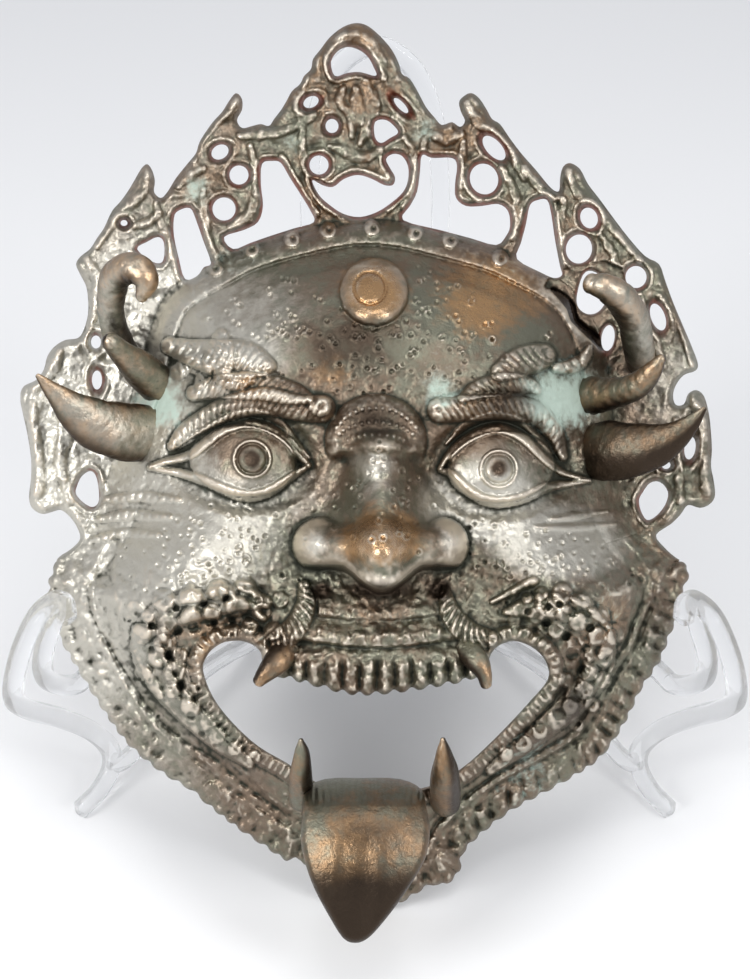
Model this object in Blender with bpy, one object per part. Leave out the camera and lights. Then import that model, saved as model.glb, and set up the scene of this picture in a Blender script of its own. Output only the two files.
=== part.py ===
"""A cast bronze guardian mask with an openwork crown, leaning on a clear plastic stand.

Metres, +Z up, the viewer at -Y. The mask is drawn flat, in drawing units counted right and
down, and each place of the drawing has a height over the mask's back plane.
"""

import math

import bpy
import numpy as np
from mathutils import Vector
from mathutils.bvhtree import BVHTree

# The mask's sizes
MASK_HEIGHT = 0.251
FACE_WALL = 0.003
CROWN_WALL = 0.0036
TONGUE_WALL = 0.0042
LEAN = math.radians(35)

# The stand's sizes: two scroll-shaped sides run back and inwards from the ledges to the hoop
LEDGE_HEIGHT = 0.049
LEDGE_HALF_WIDTH = 0.081
STRAP_WIDTH = 0.0055
STRAP_THICKNESS = 0.0045
STRAP_SQUARENESS = 0.45
STRAP_TURN = math.radians(16)
LIP_RISE = 0.0315
SCROLL_REACH = 0.0238
RUNNER_RISE = 0.0075
HOOP_HEIGHT = 0.190
HOOP_HALF_WIDTH = 0.019
HOOP_SETBACK = 0.102
SEATING_LIFT = 0.0035
GAP = 0.0003

# The drawing: DRAWN_HEIGHT units make the mask's height, and a relief unit is 1/251 of it
DRAWN_HEIGHT = 920.0
DRAWN_CENTRE = (375.0, 489.5)
UNIT = MASK_HEIGHT / DRAWN_HEIGHT
RELIEF = MASK_HEIGHT / 251
DRAFT_POINT = 2.0 * MASK_HEIGHT
GRID_STEP = 3.0
RASTER_STEP = 2.0
DRAWN_BOX = (10.0, 14.0, 728.0, 956.0)
REST_PLACE = (79.0, 672.0)
TRIANGLES = 8000

# Relief units over the back plane: the plates, the face's rise, and the two bands along its rim
PLATE = 6.0
FACE_RISE = 34.0
JAW_FLANGE = 8.0
RIM_BAND = (13.0, 13.0, 2.4)
RIM_GROOVE = (32.0, 8.0, -2.2)
BEARD_GROOVE = (47.0, 7.0, -2.4)
BEARD_RIDGE = (62.0, 9.0, 1.6)
LIP_RIM = (8.0, 9.0, 2.6)
UPPER_LIP = (377.0, 112.0, 596.0, 705.0)
TOOTH_PITCH = 17.5

# Outline of the casting, without horns, ears and tongue, clockwise from the crown's tip
CROWN_RIGHT = [
    (356, 23), (368, 26), (381, 37), (392, 50), (399, 64), (402, 74), (410, 79), (418, 92), (426, 107),
    (435, 118), (442, 125), (452, 122), (460, 127), (465, 121), (461, 112), (459, 102), (464, 96), (471, 93),
    (479, 98), (487, 110), (492, 119), (500, 124), (509, 137), (521, 153), (536, 170), (551, 188), (559, 191),
    (560, 178), (563, 167), (570, 163), (580, 169), (588, 184), (598, 197), (612, 216), (628, 237), (645, 256),
    (659, 264), (665, 280), (673, 302), (684, 328), (692, 347), (698, 364), (695, 371), (684, 375), (676, 385),
    (673, 396), (676, 405), (684, 404), (688, 394), (696, 390), (704, 396), (709, 414), (711, 432), (712, 450),
    (711, 466), (714, 482), (715, 496), (710, 504), (700, 508), (688, 505), (681, 514), (671, 524), (656, 535),
]
BEARD_RIGHT = [
    (664, 547), (675, 557), (688, 566), (689, 577), (684, 592), (681, 611), (671, 634), (660, 662), (642, 689),
    (626, 722), (602, 757), (572, 778), (545, 793), (512, 811), (482, 834), (464, 853), (460, 872), (446, 885),
    (430, 886), (410, 898), (388, 908),
]
BEARD_LEFT = [
    (350, 908), (318, 884), (301, 861), (286, 861), (266, 848), (239, 830), (208, 806), (191, 791), (167, 777),
    (143, 759), (121, 737), (97, 702), (76, 668), (57, 634), (49, 608), (48, 583), (51, 572), (58, 558),
]
PLATE_LEFT = [
    (71, 549), (80, 539), (77, 527), (70, 517), (61, 510), (52, 512), (42, 514), (32, 508), (29, 497), (31, 478),
    (31, 458), (27, 432), (22, 410), (20, 396), (24, 386), (36, 380), (44, 369), (47, 357), (54, 347), (65, 340),
    (78, 338), (84, 329), (88, 314), (88, 299), (86, 286), (80, 274), (76, 264), (81, 256), (90, 249), (97, 238),
    (104, 228), (112, 211), (120, 202), (128, 191), (134, 181), (141, 169), (147, 164), (152, 170), (155, 181),
    (154, 192), (161, 198), (168, 191), (176, 178), (188, 163), (196, 153), (200, 141), (212, 123), (222, 112),
    (229, 101), (236, 93), (242, 99), (242, 110), (237, 120), (242, 128), (252, 126), (261, 124), (269, 126),
    (274, 119), (281, 110), (287, 100), (292, 91), (300, 84), (304, 76), (311, 69), (313, 59), (320, 50),
    (330, 37), (343, 27),
]
OUTLINE = CROWN_RIGHT + BEARD_RIGHT + BEARD_LEFT + PLATE_LEFT

# Round holes: centre, half width, half height and turn in degrees
ROUND_HOLES = [
    (311, 102, 8, 5.5, -25), (332, 126, 6.5, 7, 0), (319, 165, 9.5, 9.5, 0), (401, 105.5, 10, 3.4, 47),
    (220, 152, 9, 7, -30), (239, 175, 9.5, 9.5, 30), (224, 209, 11.5, 11.5, 0), (124, 223, 3.5, 3, 0),
    (96, 342, 5, 6.5, 0), (97, 380, 5, 9.5, 0), (484, 179, 14, 15.5, -20), (589, 218, 8.5, 10.5, -20),
    (579, 249, 13, 14.5, 10), (636, 277, 10.5, 11, 0), (658, 317, 7, 14, -20), (608, 338, 6.5, 13, 8),
    (690, 448, 5.5, 11.5, 8), (666, 465, 4.5, 4, 0), (494, 148, 15, 7.5, 48),
]
# Openings with an outline of their own
ARCH_HOLE = [(331, 62), (338, 51), (348, 47), (359, 50), (368, 57), (374, 68), (376, 76), (360, 72), (347, 73),
             (335, 76)]
LEAF_HOLE = [(375, 122), (386, 120), (395, 127), (398, 133), (390, 138), (381, 143), (375, 137)]
HEART_OPENING = [(386, 159), (393, 154), (402, 156), (408, 166), (408, 180), (403, 192), (391, 203), (377, 212),
                 (360, 217), (344, 214), (331, 206), (319, 195), (312, 180), (322, 185), (333, 187), (344, 179),
                 (358, 175), (372, 179), (384, 185), (393, 185), (395, 177), (390, 168)]
LEFT_BAY = [(262, 164), (272, 161), (281, 163), (290, 178), (301, 195), (310, 210), (314, 222), (295, 228),
            (270, 236), (250, 243), (233, 249), (224, 237), (244, 230), (258, 222), (263, 206), (261, 185)]
RIGHT_BAY = [(422, 155), (432, 158), (452, 158), (457, 166), (455, 184), (456, 198), (466, 206), (482, 206),
             (498, 204), (508, 211), (510, 226), (506, 236), (496, 245), (470, 238), (440, 230), (403, 220),
             (410, 206), (417, 192), (420, 172)]
LEFT_WINDOW = [(174, 218), (178, 211), (190, 208), (196, 220), (203, 240), (211, 263), (204, 267), (197, 276),
               (185, 279), (179, 259), (174, 236)]
RIGHT_WINDOW = [(530, 205), (538, 200), (547, 200), (551, 213), (555, 240), (560, 266), (562, 275), (554, 278),
                (540, 272), (517, 259), (521, 243), (526, 224)]
LEFT_HORN_GAP = [(137, 249), (147, 242), (158, 237), (164, 243), (163, 261), (153, 262)]
RIGHT_HORN_GAP = [(583, 275), (592, 271), (604, 280), (606, 300), (598, 312), (587, 314), (578, 307), (577, 295)]
LEFT_PLATE_HOLE = [(77, 486), (82, 476), (91, 471), (97, 479), (99, 500), (93, 507), (84, 503), (76, 494)]
RIGHT_PLATE_HOLE = [(639, 500), (643, 492), (650, 483), (660, 482), (668, 492), (665, 505), (656, 516),
                    (647, 520), (641, 511)]
MOUTH = [
    (203, 670), (207, 656), (214, 648), (225, 642), (241, 641), (253, 645), (261, 653), (263, 666), (272, 675),
    (290, 680), (320, 688), (350, 695), (380, 695), (420, 690), (455, 684), (474, 679), (486, 669), (491, 654),
    (500, 645), (514, 641), (530, 646), (543, 657), (549, 672), (545, 684), (531, 700), (510, 723), (487, 746),
    (462, 768), (430, 786), (400, 790), (360, 789), (320, 784), (287, 763), (258, 746), (232, 722), (213, 697),
]
OPENINGS = [ARCH_HOLE, LEAF_HOLE, HEART_OPENING, LEFT_BAY, RIGHT_BAY, LEFT_WINDOW, RIGHT_WINDOW,
            LEFT_HORN_GAP, RIGHT_HORN_GAP, LEFT_PLATE_HOLE, RIGHT_PLATE_HOLE, MOUTH]

# Where the face rises from the plates: its rim over the forehead and beside the ears
FACE_RIM = [
    (168, 292), (186, 278), (215, 261), (251, 243), (300, 229), (352, 219), (400, 221), (450, 233), (496, 246),
    (530, 262), (560, 279), (582, 300), (598, 330), (608, 365), (613, 410), (618, 455), (628, 500), (645, 530),
]
FACE_SIDE_LEFT = [(76, 542), (94, 512), (108, 475), (122, 430), (134, 390), (146, 345), (156, 312)]
FACE = FACE_RIM + BEARD_RIGHT + BEARD_LEFT + FACE_SIDE_LEFT
BROKEN_SHELL = [(544, 286), (557, 292), (568, 300), (572, 314), (578, 326), (590, 334), (600, 348), (622, 350),
                (622, 268), (566, 268)]

# Flame strands of the brows and other raised strokes: places with a half width each
BROWS = [
    ([(176, 441, 7), (196, 420, 11), (227, 405, 13), (263, 399, 14), (299, 405, 14), (322, 407, 15)], 6.5),
    ([(196, 388, 10), (236, 388, 14), (276, 391, 12), (302, 396, 8)], 4.5),
    ([(172, 350, 11), (204, 358, 17), (245, 360, 20), (266, 364, 12)], 5.5),
    ([(222, 355, 15), (221, 336, 7)], 3.0),
    ([(442, 408, 12), (470, 407, 14), (520, 406, 13), (550, 424, 11), (563, 456, 6)], 6.5),
    ([(462, 400, 6), (488, 388, 13), (524, 384, 14), (536, 390, 6)], 4.0),
    ([(502, 369, 12), (528, 361, 18), (545, 357, 10)], 5.5),
    ([(560, 366, 7), (580, 364, 9), (589, 350, 4)], 5.0),
]
# The nose: its ridge with a half width, its height down the drawing, and its bulb and wings, each
# with centre, half width, half height and rise
NOSE_RIDGE = [(381, 440, 30), (381, 462, 36), (381, 495, 44), (382, 530, 60), (382, 575, 62)]
NOSE_HEIGHTS = [(430, 3), (446, 12), (462, 14.5), (480, 14), (505, 18), (535, 24), (560, 26), (590, 26)]
NOSE_LUMPS = [
    (382, 547, 36, 36, 29), (323, 545, 31, 28, 16.5), (442, 545, 27, 28, 16.5), (352, 547, 36, 27, 21),
    (412, 547, 34, 27, 21),
]
NOSE_FOOT = 562.0
NOSE_SAG = 24.0
LIP_ROLLS = [
    [(308, 584, 9), (302, 612, 13), (287, 637, 14), (264, 647, 11)],
    [(447, 590, 9), (453, 614, 12), (468, 632, 13), (488, 638, 10)],
]
CURL_ROWS = [
    [(142, 652), (148, 626), (170, 604), (205, 597), (245, 594)],
    [(166, 640), (192, 620), (225, 612), (270, 622)],
    [(170, 668), (186, 700), (208, 724), (240, 750)],
    [(545, 596), (575, 604), (600, 626), (602, 655)],
    [(520, 618), (548, 626), (572, 648), (580, 676)],
    [(566, 690), (545, 716), (518, 738), (490, 756)],
]
CURL_SPACING = 24.0
CURL_RADIUS = 10.0
CURL_RISE = 3.0
LIP_ROLL_RISE = 4.0
# Broad swellings and hollows, then round forms and flat-topped bosses: centre, half width, half
# height, turn in degrees, rise, and for a boss how steep its side is
SWELLINGS = [
    (187, 566, 92, 82, 0, 6), (572, 566, 92, 82, 0, 6), (240, 458, 100, 62, 4, -5), (503, 458, 100, 62, -4, -5),
    (376, 640, 150, 105, 0, 7),
]
ROUNDS = [(243, 461, 54, 36, 5, 8), (501, 467, 54, 36, -5, 8)]
BOSSES = [
    (374, 292, 35, 34, 0, 5.5, 1.8), (376, 436, 52, 42, 0, 5, 1.5), (249, 460, 17, 17, 0, 2, 2),
    (504, 468, 17, 17, 0, 2, 2),
]

# Horns, ears and fangs: places across the drawing with a height and a radius, and a flatness
PRONGS = {
    "left_horn": ([(126, 356, 4.4, 14), (113, 324, 22, 13), (111, 298, 31, 13.5), (116, 277, 37, 14.5),
                   (129, 268, 42, 15), (141, 272, 45, 14), (146, 284, 45, 11), (142, 296, 43, 6)], 1.0),
    "right_horn": ([(641, 366, 4.4, 14), (638, 342, 20, 15.5), (633, 319, 29, 15.5), (622, 300, 36, 15),
                    (607, 288, 39, 13.5), (592, 284, 38, 10)], 1.0),
    "left_stub": ([(160, 386, 12, 20), (138, 367, 20, 17), (122, 353, 26, 12), (112, 343, 30, 9)], 1.0),
    "right_stub": ([(586, 396, 13, 20), (614, 393, 21, 15), (638, 385, 28, 13), (653, 370, 32, 9),
                    (661, 359, 34, 5)], 1.0),
    "left_ear": ([(150, 434, 14, 27), (120, 431, 20, 28), (96, 424, 24, 25), (74, 410, 28, 18),
                  (53, 391, 31, 9), (38, 376, 33, 2.5)], 0.55),
    "right_ear": ([(588, 450, 14, 26), (612, 451, 20, 29), (640, 449, 25, 25), (668, 440, 29, 17),
                   (690, 424, 32, 9), (704, 409, 34, 2.5)], 0.55),
    "left_upper_fang": ([(286, 652, 42, 13), (274, 664, 46, 11), (262, 676, 47, 7.5), (255, 685, 47, 4)], 1.0),
    "right_upper_fang": ([(466, 648, 42, 13), (477, 661, 46, 11), (485, 675, 47, 7.5), (489, 688, 47, 4)], 1.0),
    "left_lower_fang": ([(301, 800, 27, 12), (301, 772, 41, 10), (302, 752, 45, 7), (301, 741, 47, 2.5)], 1.0),
    "right_lower_fang": ([(445, 802, 22, 15), (445, 774, 39, 13), (444, 753, 44, 7.5), (443, 740, 46, 2.5)], 1.0),
}
TONGUE = [
    (305, 790), (302, 815), (301, 842), (306, 866), (315, 890), (329, 916), (343, 938), (355, 943), (367, 939),
    (380, 926), (398, 903), (418, 873), (427, 853), (430, 830), (427, 810), (422, 790), (400, 779), (360, 778),
    (325, 779),
]
TONGUE_PROFILE = [(765, 28), (779, 35), (792, 41), (812, 46.5), (845, 50), (885, 51), (950, 48)]


def eased(share):
    """A share from 0 to 1 with no corner at either end."""
    share = np.clip(share, 0, 1)
    return share * share * (3 - 2 * share)


def domed(ratio):
    """Height of a round boss at a share of its radius."""
    return np.sqrt(np.clip(1 - ratio * ratio, 0, 1))


def swelling(ratio):
    """Height of a soft swelling at a share of its radius."""
    return np.clip(1 - ratio * ratio, 0, 1) ** 2


def smooth_curve(points, closed, parts=4):
    """Points on a smooth curve through the given ones, each span cut into equal parts."""
    points = np.array(points, float)
    if closed:
        before, after, last = np.roll(points, 1, 0), np.roll(points, -1, 0), np.roll(points, -2, 0)
    else:
        ends = np.vstack([2 * points[:1] - points[1:2], points, 2 * points[-1:] - points[-2:-1]])
        before, points, after, last = ends[:-3], ends[1:-2], ends[2:-1], ends[3:]
    share = (np.arange(parts) / parts)[:, None, None]
    curve = 0.5 * (2 * points + (after - before) * share
                   + (2 * before - 5 * points + 4 * after - last) * share**2
                   + (3 * points - before - 3 * after + last) * share**3)
    curve = curve.transpose(1, 0, 2).reshape(-1, points.shape[1])
    return curve if closed else np.vstack([curve, after[-1:]])


def nearest(x, y, path):
    """Least distance from each place to a path, as a share of the half width that the path has there."""
    least = np.full(x.shape, np.inf)
    for start, end in zip(path[:-1], path[1:]):
        across, down = end[0] - start[0], end[1] - start[1]
        along = ((x - start[0]) * across + (y - start[1]) * down) / (across**2 + down**2 + 1e-9)
        along = np.clip(along, 0, 1)
        away = np.hypot(x - start[0] - along * across, y - start[1] - along * down)
        width = start[2] + along * (end[2] - start[2]) if len(start) > 2 else 1.0
        least = np.minimum(least, away / width)
    return least


def depth_inside(x, y, outline):
    """Distance to a closed outline, positive inside it and negative outside."""
    ring = np.vstack([outline, outline[:1]])
    within = np.zeros(x.shape, bool)
    for (x1, y1), (x2, y2) in zip(ring[:-1], ring[1:]):
        if y1 != y2:
            within ^= ((y1 > y) != (y2 > y)) & (x < (x2 - x1) * (y - y1) / (y2 - y1) + x1)
    return np.where(within, 1, -1) * nearest(x, y, ring)


def ellipse_ratio(x, y, across, down, half_width, half_height, turn=0.0):
    """Distance from an ellipse's centre as a share of its radius that way."""
    c, s = math.cos(math.radians(turn)), math.sin(math.radians(turn))
    right, low = x - across, y - down
    return np.hypot((right * c + low * s) / half_width, (low * c - right * s) / half_height)


def metal_depth(x, y):
    """Distance into the casting from its nearest edge, negative off it and in its openings."""
    depth = depth_inside(x, y, smooth_curve(OUTLINE, True, 3))
    for opening in OPENINGS:
        depth = np.minimum(depth, -depth_inside(x, y, smooth_curve(opening, True, 3)))
    for across, down, half_width, half_height, turn in ROUND_HOLES:
        ratio = ellipse_ratio(x, y, across, down, half_width, half_height, turn)
        depth = np.minimum(depth, (ratio - 1) * min(half_width, half_height))
    return depth


def band(inside, middle, half_width, rise):
    """A rounded ridge or groove along an edge, its middle a set distance inside it."""
    return rise * domed((inside - middle) / half_width)


def nose_form(x, y):
    """The nose over the face: a ridge that widens down to the bulb and wings, cut off underneath.

    The forms run into each other with a soft fillet, as the root of a sum of high powers.
    """
    rows, heights = np.array(NOSE_HEIGHTS, float).T
    power = 5
    total = (np.interp(y, rows, heights) * swelling(nearest(x, y, NOSE_RIDGE))) ** power
    for across, down, half_width, half_height, rise in NOSE_LUMPS:
        total = total + (rise * domed(ellipse_ratio(x, y, across, down, half_width, half_height))) ** power
    tip, _, tip_width, _, _ = NOSE_LUMPS[0]
    foot = NOSE_FOOT + NOSE_SAG * swelling((x - tip) / (1.2 * tip_width))
    return total ** (1 / power) * (1 - eased((y - foot) / 9))


def broad_height(x, y, inside):
    """The face's main form: plates and crown, forehead, cheeks, jaw, muzzle and nose."""
    chin = 5 * eased((y - 770) / 120)
    forehead = FACE_RISE * np.sin(math.pi / 2 * np.clip(inside / 140, 0, 1))
    within = np.sin(math.pi / 2 * np.clip((inside - 40) / 100, 0, 1))
    jaw = JAW_FLANGE * eased(inside / 42) + (FACE_RISE - JAW_FLANGE) * within
    height = PLATE + chin + forehead + (jaw - forehead) * eased((y - 455) / 90)
    for *form, rise in SWELLINGS:
        height = height + rise * swelling(ellipse_ratio(x, y, *form))
    for *form, rise in ROUNDS:
        height = height + rise * domed(ellipse_ratio(x, y, *form))
    return height + nose_form(x, y)


def carved_height(x, y, inside):
    """The front surface: the main form with the carving that shows from a step away."""
    height = broad_height(x, y, inside)
    upper = (1 - eased((y - 400) / 60)) * eased(inside / 14)
    lower = eased((y - 540) / 40)
    height = height + upper * (band(inside, *RIM_BAND) + band(inside, *RIM_GROOVE))
    height = height + lower * (band(inside, *BEARD_GROOVE) + band(inside, *BEARD_RIDGE))
    for *form, rise, steepness in BOSSES:
        height = height + rise * np.minimum(1, steepness * domed(ellipse_ratio(x, y, *form)))
    for strand, rise in BROWS + [(roll, LIP_ROLL_RISE) for roll in LIP_ROLLS]:
        height = height + rise * domed(nearest(x, y, strand))
    for row in CURL_ROWS:
        for across, down in spaced_along(row, CURL_SPACING):
            height = height + CURL_RISE * domed(np.hypot(x - across, y - down) / CURL_RADIUS)
    middle, reach, top, foot = UPPER_LIP
    gum = (np.abs(x - middle) < reach) * eased((y - top) / 8) * (y < foot)
    outside_lip = band(-depth_inside(x, y, smooth_curve(MOUTH, True, 3)), *LIP_RIM)
    height = height + outside_lip * (1 - (gum > 0))
    height = height + gum * (1.5 - 1.5 * eased((y - top - 26) / 6) + 2 * eased((y - top - 50) / 8))
    ribs = np.abs(np.sin(math.pi * (x - middle) / TOOTH_PITCH))
    height = height + gum * 2.2 * (ribs - 0.6) * eased((y - top - 56) / 12)
    return np.where(depth_inside(x, y, np.array(BROKEN_SHELL, float)) > 0, np.minimum(height, PLATE), height)


def spaced_along(points, spacing):
    """Places an equal way apart along a smooth curve through the points."""
    curve = smooth_curve(points, False, 8)
    run = np.concatenate([[0], np.cumsum(np.hypot(*np.diff(curve, axis=0).T))])
    stops = np.linspace(0, run[-1], max(2, round(run[-1] / spacing) + 1))
    return np.stack([np.interp(stops, run, curve[:, axis]) for axis in (0, 1)], axis=1)


def rolled_off(front, wall, reach):
    """The back surface: the front moved in by the wall's thickness, square to the surface all over."""
    back = np.full(front.shape, np.inf)
    cells = int(reach)
    for right in range(-cells, cells + 1):
        for low in range(-cells, cells + 1):
            share = (right**2 + low**2) / reach**2
            if share > 1:
                continue
            moved = np.roll(np.roll(front, right, 1), low, 0)
            back = np.minimum(back, moved - wall * math.sqrt(1 - share))
    return back


def softened(values, rounds):
    """The values with small forms evened out, each round a blend with the neighbours."""
    for _ in range(rounds):
        for axis in (0, 1):
            values = 0.5 * values + 0.25 * (np.roll(values, 1, axis) + np.roll(values, -1, axis))
    return values


def sampled(raster, x, y):
    """The raster's value at each place, blended between its nearest four."""
    across = np.clip((x - DRAWN_BOX[0]) / RASTER_STEP, 0, raster.shape[1] - 1.001)
    down = np.clip((y - DRAWN_BOX[1]) / RASTER_STEP, 0, raster.shape[0] - 1.001)
    i, j = down.astype(int), across.astype(int)
    low, right = down - i, across - j
    return ((raster[i, j] * (1 - right) + raster[i, j + 1] * right) * (1 - low)
            + (raster[i + 1, j] * (1 - right) + raster[i + 1, j + 1] * right) * low)


def sheet_cells(edge):
    """Triangles that fill the drawing where edge is positive, cut along the line where it is zero.

    The grid's rows are staggered. A grid point close to the line slides onto it, and a
    triangle that the line still crosses is cut there. Returns the places and the triangles.
    """
    left, top, right, bottom = DRAWN_BOX
    columns, rows = int((right - left) / GRID_STEP), int((bottom - top) / GRID_STEP)
    row, column = np.mgrid[0:rows, 0:columns]
    x = (left + (column + 0.5 * (row % 2)) * GRID_STEP).ravel()
    y = (top + row * GRID_STEP).ravel()
    value = edge(x, y)
    step = 0.5
    slope_x = (edge(x + step, y) - edge(x - step, y)) / (2 * step)
    slope_y = (edge(x, y + step) - edge(x, y - step)) / (2 * step)
    slope = slope_x**2 + slope_y**2 + 1e-6
    near = (np.abs(value) < 0.3 * GRID_STEP) & (slope > 0.2)
    x = np.where(near, x - value * slope_x / slope, x)
    y = np.where(near, y - value * slope_y / slope, y)
    value = np.where(near, 0.0, value)
    corner = (row * columns + column)[:-1, :-1].ravel()
    odd = (corner // columns) % 2 == 1
    first = np.where(odd[:, None], np.stack([corner, corner + columns, corner + columns + 1], 1),
                     np.stack([corner, corner + columns, corner + 1], 1))
    second = np.where(odd[:, None], np.stack([corner, corner + columns + 1, corner + 1], 1),
                      np.stack([corner + 1, corner + columns, corner + columns + 1], 1))
    cells = np.vstack([first, second])
    sign = np.sign(value)[cells]
    kept = [cells[(sign.min(1) >= 0) & (sign.max(1) > 0)]]
    places = [np.stack([x, y], 1)]
    count = len(x)
    for turn in range(3):
        a, b, c = (cells[:, (turn + k) % 3] for k in range(3))
        sa, sb, sc = (sign[:, (turn + k) % 3] for k in range(3))
        for case, one, other in (("tip", (a, b), (a, c)), ("wedge", (a, c), (a, c)), ("hinge", (a, b), (a, b)),
                                 ("stump", (b, c), (a, c))):
            chosen = {"tip": (sa > 0) & (sb < 0) & (sc < 0), "wedge": (sa > 0) & (sb == 0) & (sc < 0),
                      "hinge": (sa > 0) & (sb < 0) & (sc == 0), "stump": (sa > 0) & (sb > 0) & (sc < 0)}[case]
            if not chosen.any():
                continue
            ends = []
            for start, end in (one, other):
                start, end = start[chosen], end[chosen]
                low, high = np.minimum(start, end), np.maximum(start, end)
                share = value[low] / (value[low] - value[high])
                places.append(np.stack([x[low] + share * (x[high] - x[low]), y[low] + share * (y[high] - y[low])], 1))
                ends.append(count + np.arange(len(low)))
                count += len(low)
            a1, b1, c1 = a[chosen], b[chosen], c[chosen]
            if case == "tip":
                kept.append(np.stack([a1, ends[0], ends[1]], 1))
            elif case == "wedge":
                kept.append(np.stack([a1, b1, ends[0]], 1))
            elif case == "hinge":
                kept.append(np.stack([a1, ends[0], c1], 1))
            else:
                kept.append(np.stack([a1, b1, ends[0]], 1))
                kept.append(np.stack([a1, ends[0], ends[1]], 1))
    places, triangles = np.vstack(places), np.vstack(kept)
    _, first_use, index = np.unique(np.round(places, 5), axis=0, return_index=True, return_inverse=True)
    triangles = index.reshape(-1)[triangles]
    whole = (triangles[:, 0] != triangles[:, 1]) & (triangles[:, 1] != triangles[:, 2]) & (
        triangles[:, 0] != triangles[:, 2])
    used, triangles = np.unique(triangles[whole], return_inverse=True)
    return places[first_use][used], triangles.reshape(-1, 3)


def placed(x, y, height):
    """Drawing places and heights (metres) as points: the draft narrows the drawing with height."""
    narrowed = 1 - height / DRAFT_POINT
    across = (x - DRAWN_CENTRE[0]) * UNIT * narrowed
    along = (DRAWN_CENTRE[1] - y) * UNIT * narrowed
    return np.stack([across, along * math.sin(LEAN) - height * math.cos(LEAN),
                     along * math.cos(LEAN) + height * math.sin(LEAN)], axis=-1)


def solid_sheet(name, edge, front, back, edge_round, material, collection):
    """A closed cast sheet between a front and a back surface, rounded along its edges."""
    places, triangles = sheet_cells(edge)
    x, y = places.T
    on_edge = np.zeros(len(x), bool)
    sides = np.sort(np.vstack([triangles[:, [0, 1]], triangles[:, [1, 2]], triangles[:, [2, 0]]]), axis=1)
    pairs, uses = np.unique(sides, axis=0, return_counts=True)
    on_edge[pairs[uses == 1].ravel()] = True
    front_height, back_height = front(x, y), back(x, y)
    share = np.clip(edge(x, y) / edge_round, 0, 1)
    fullness = np.where(on_edge, 0, np.maximum(np.sqrt(1 - (1 - share) ** 2), 0.25))
    middle, half = (front_height + back_height) / 2, (front_height - back_height) / 2
    top = placed(x, y, middle + half * fullness)
    under = placed(x, y, middle - half * fullness)
    index = np.arange(len(x))
    lower = np.where(on_edge, index, len(x) + np.cumsum(~on_edge) - 1)
    points = np.vstack([top, under[~on_edge]])
    faces = np.vstack([triangles, lower[triangles][:, ::-1]])
    return new_object(name, points, faces, material, collection)


def new_object(name, points, faces, material, collection):
    mesh = bpy.data.meshes.new(name)
    mesh.from_pydata(np.asarray(points).tolist(), [], [list(map(int, face)) for face in faces])
    mesh.update()
    mesh.materials.append(material)
    mesh.shade_smooth()
    made = bpy.data.objects.new(name, mesh)
    collection.objects.link(made)
    return made


def lofted(name, centres, side, rise, sides, material, collection, squareness=1.0):
    """A closed bar through the centres: side and rise are half axes of its section at each.

    The section is an oval, or with a squareness under 1 a block with its corners taken off.
    """
    angle = 2 * math.pi * (np.arange(sides) + (squareness < 1) / 2) / sides
    wide, tall = (np.sign(part) * np.abs(part) ** squareness for part in (np.cos(angle), np.sin(angle)))
    wide, tall = wide / np.abs(wide).max(), tall / np.abs(tall).max()
    rings = centres[:, None] + side[:, None] * wide[:, None] + rise[:, None] * tall[:, None]
    count = len(centres)
    points = np.vstack([rings.reshape(-1, 3), centres[:1], centres[-1:]])
    faces = []
    for ring in range(count - 1):
        for k in range(sides):
            a, b = ring * sides + k, ring * sides + (k + 1) % sides
            faces.append((a, b, b + sides))
            faces.append((a, b + sides, a + sides))
    last = (count - 1) * sides
    for k in range(sides):
        faces.append((k, count * sides, (k + 1) % sides))
        faces.append((last + k, last + (k + 1) % sides, count * sides + 1))
    return new_object(name, points, faces, material, collection)


def unit(directions):
    return directions / np.linalg.norm(directions, axis=-1, keepdims=True)


def prong(name, places, flatness, material, collection):
    """A horn, ear or fang: an oval bar along its places, thinner towards the viewer by flatness."""
    curve = smooth_curve(places, False, 2)
    rounded = curve[-1] + (curve[-1] - curve[-2]) * 0.25
    rounded[3] = curve[-1][3] * 0.35
    curve = np.vstack([curve, rounded])
    centres = placed(curve[:, 0], curve[:, 1], curve[:, 2] * RELIEF)
    along = unit(np.gradient(centres, axis=0))
    across = unit(np.cross(along, (0.0, -math.cos(LEAN), math.sin(LEAN))))
    rise = np.cross(across, along)
    radius = (curve[:, 3] * UNIT)[:, None]
    return lofted(name, centres, across * radius, rise * radius * flatness, 10, material, collection)


def joined(body, others):
    """The others cast onto the body."""
    for other in others:
        union = body.modifiers.new(other.name, "BOOLEAN")
        union.operation = "UNION"
        union.solver = "EXACT"
        union.object = other


def frozen(body, others):
    """The body with its modifiers worked out, and the others removed."""
    graph = bpy.context.evaluated_depsgraph_get()
    mesh = bpy.data.meshes.new_from_object(body.evaluated_get(graph))
    body.modifiers.clear()
    old = body.data
    body.data = mesh
    bpy.data.meshes.remove(old)
    for other in others:
        bpy.data.objects.remove(other)


def make_material(name, colour, roughness, metallic, alpha=1.0):
    material = bpy.data.materials.new(name)
    material.use_nodes = True
    shader = material.node_tree.nodes["Principled BSDF"]
    shader.inputs["Base Color"].default_value = (*colour, 1)
    shader.inputs["Roughness"].default_value = roughness
    shader.inputs["Metallic"].default_value = metallic
    shader.inputs["Alpha"].default_value = alpha
    return material


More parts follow.
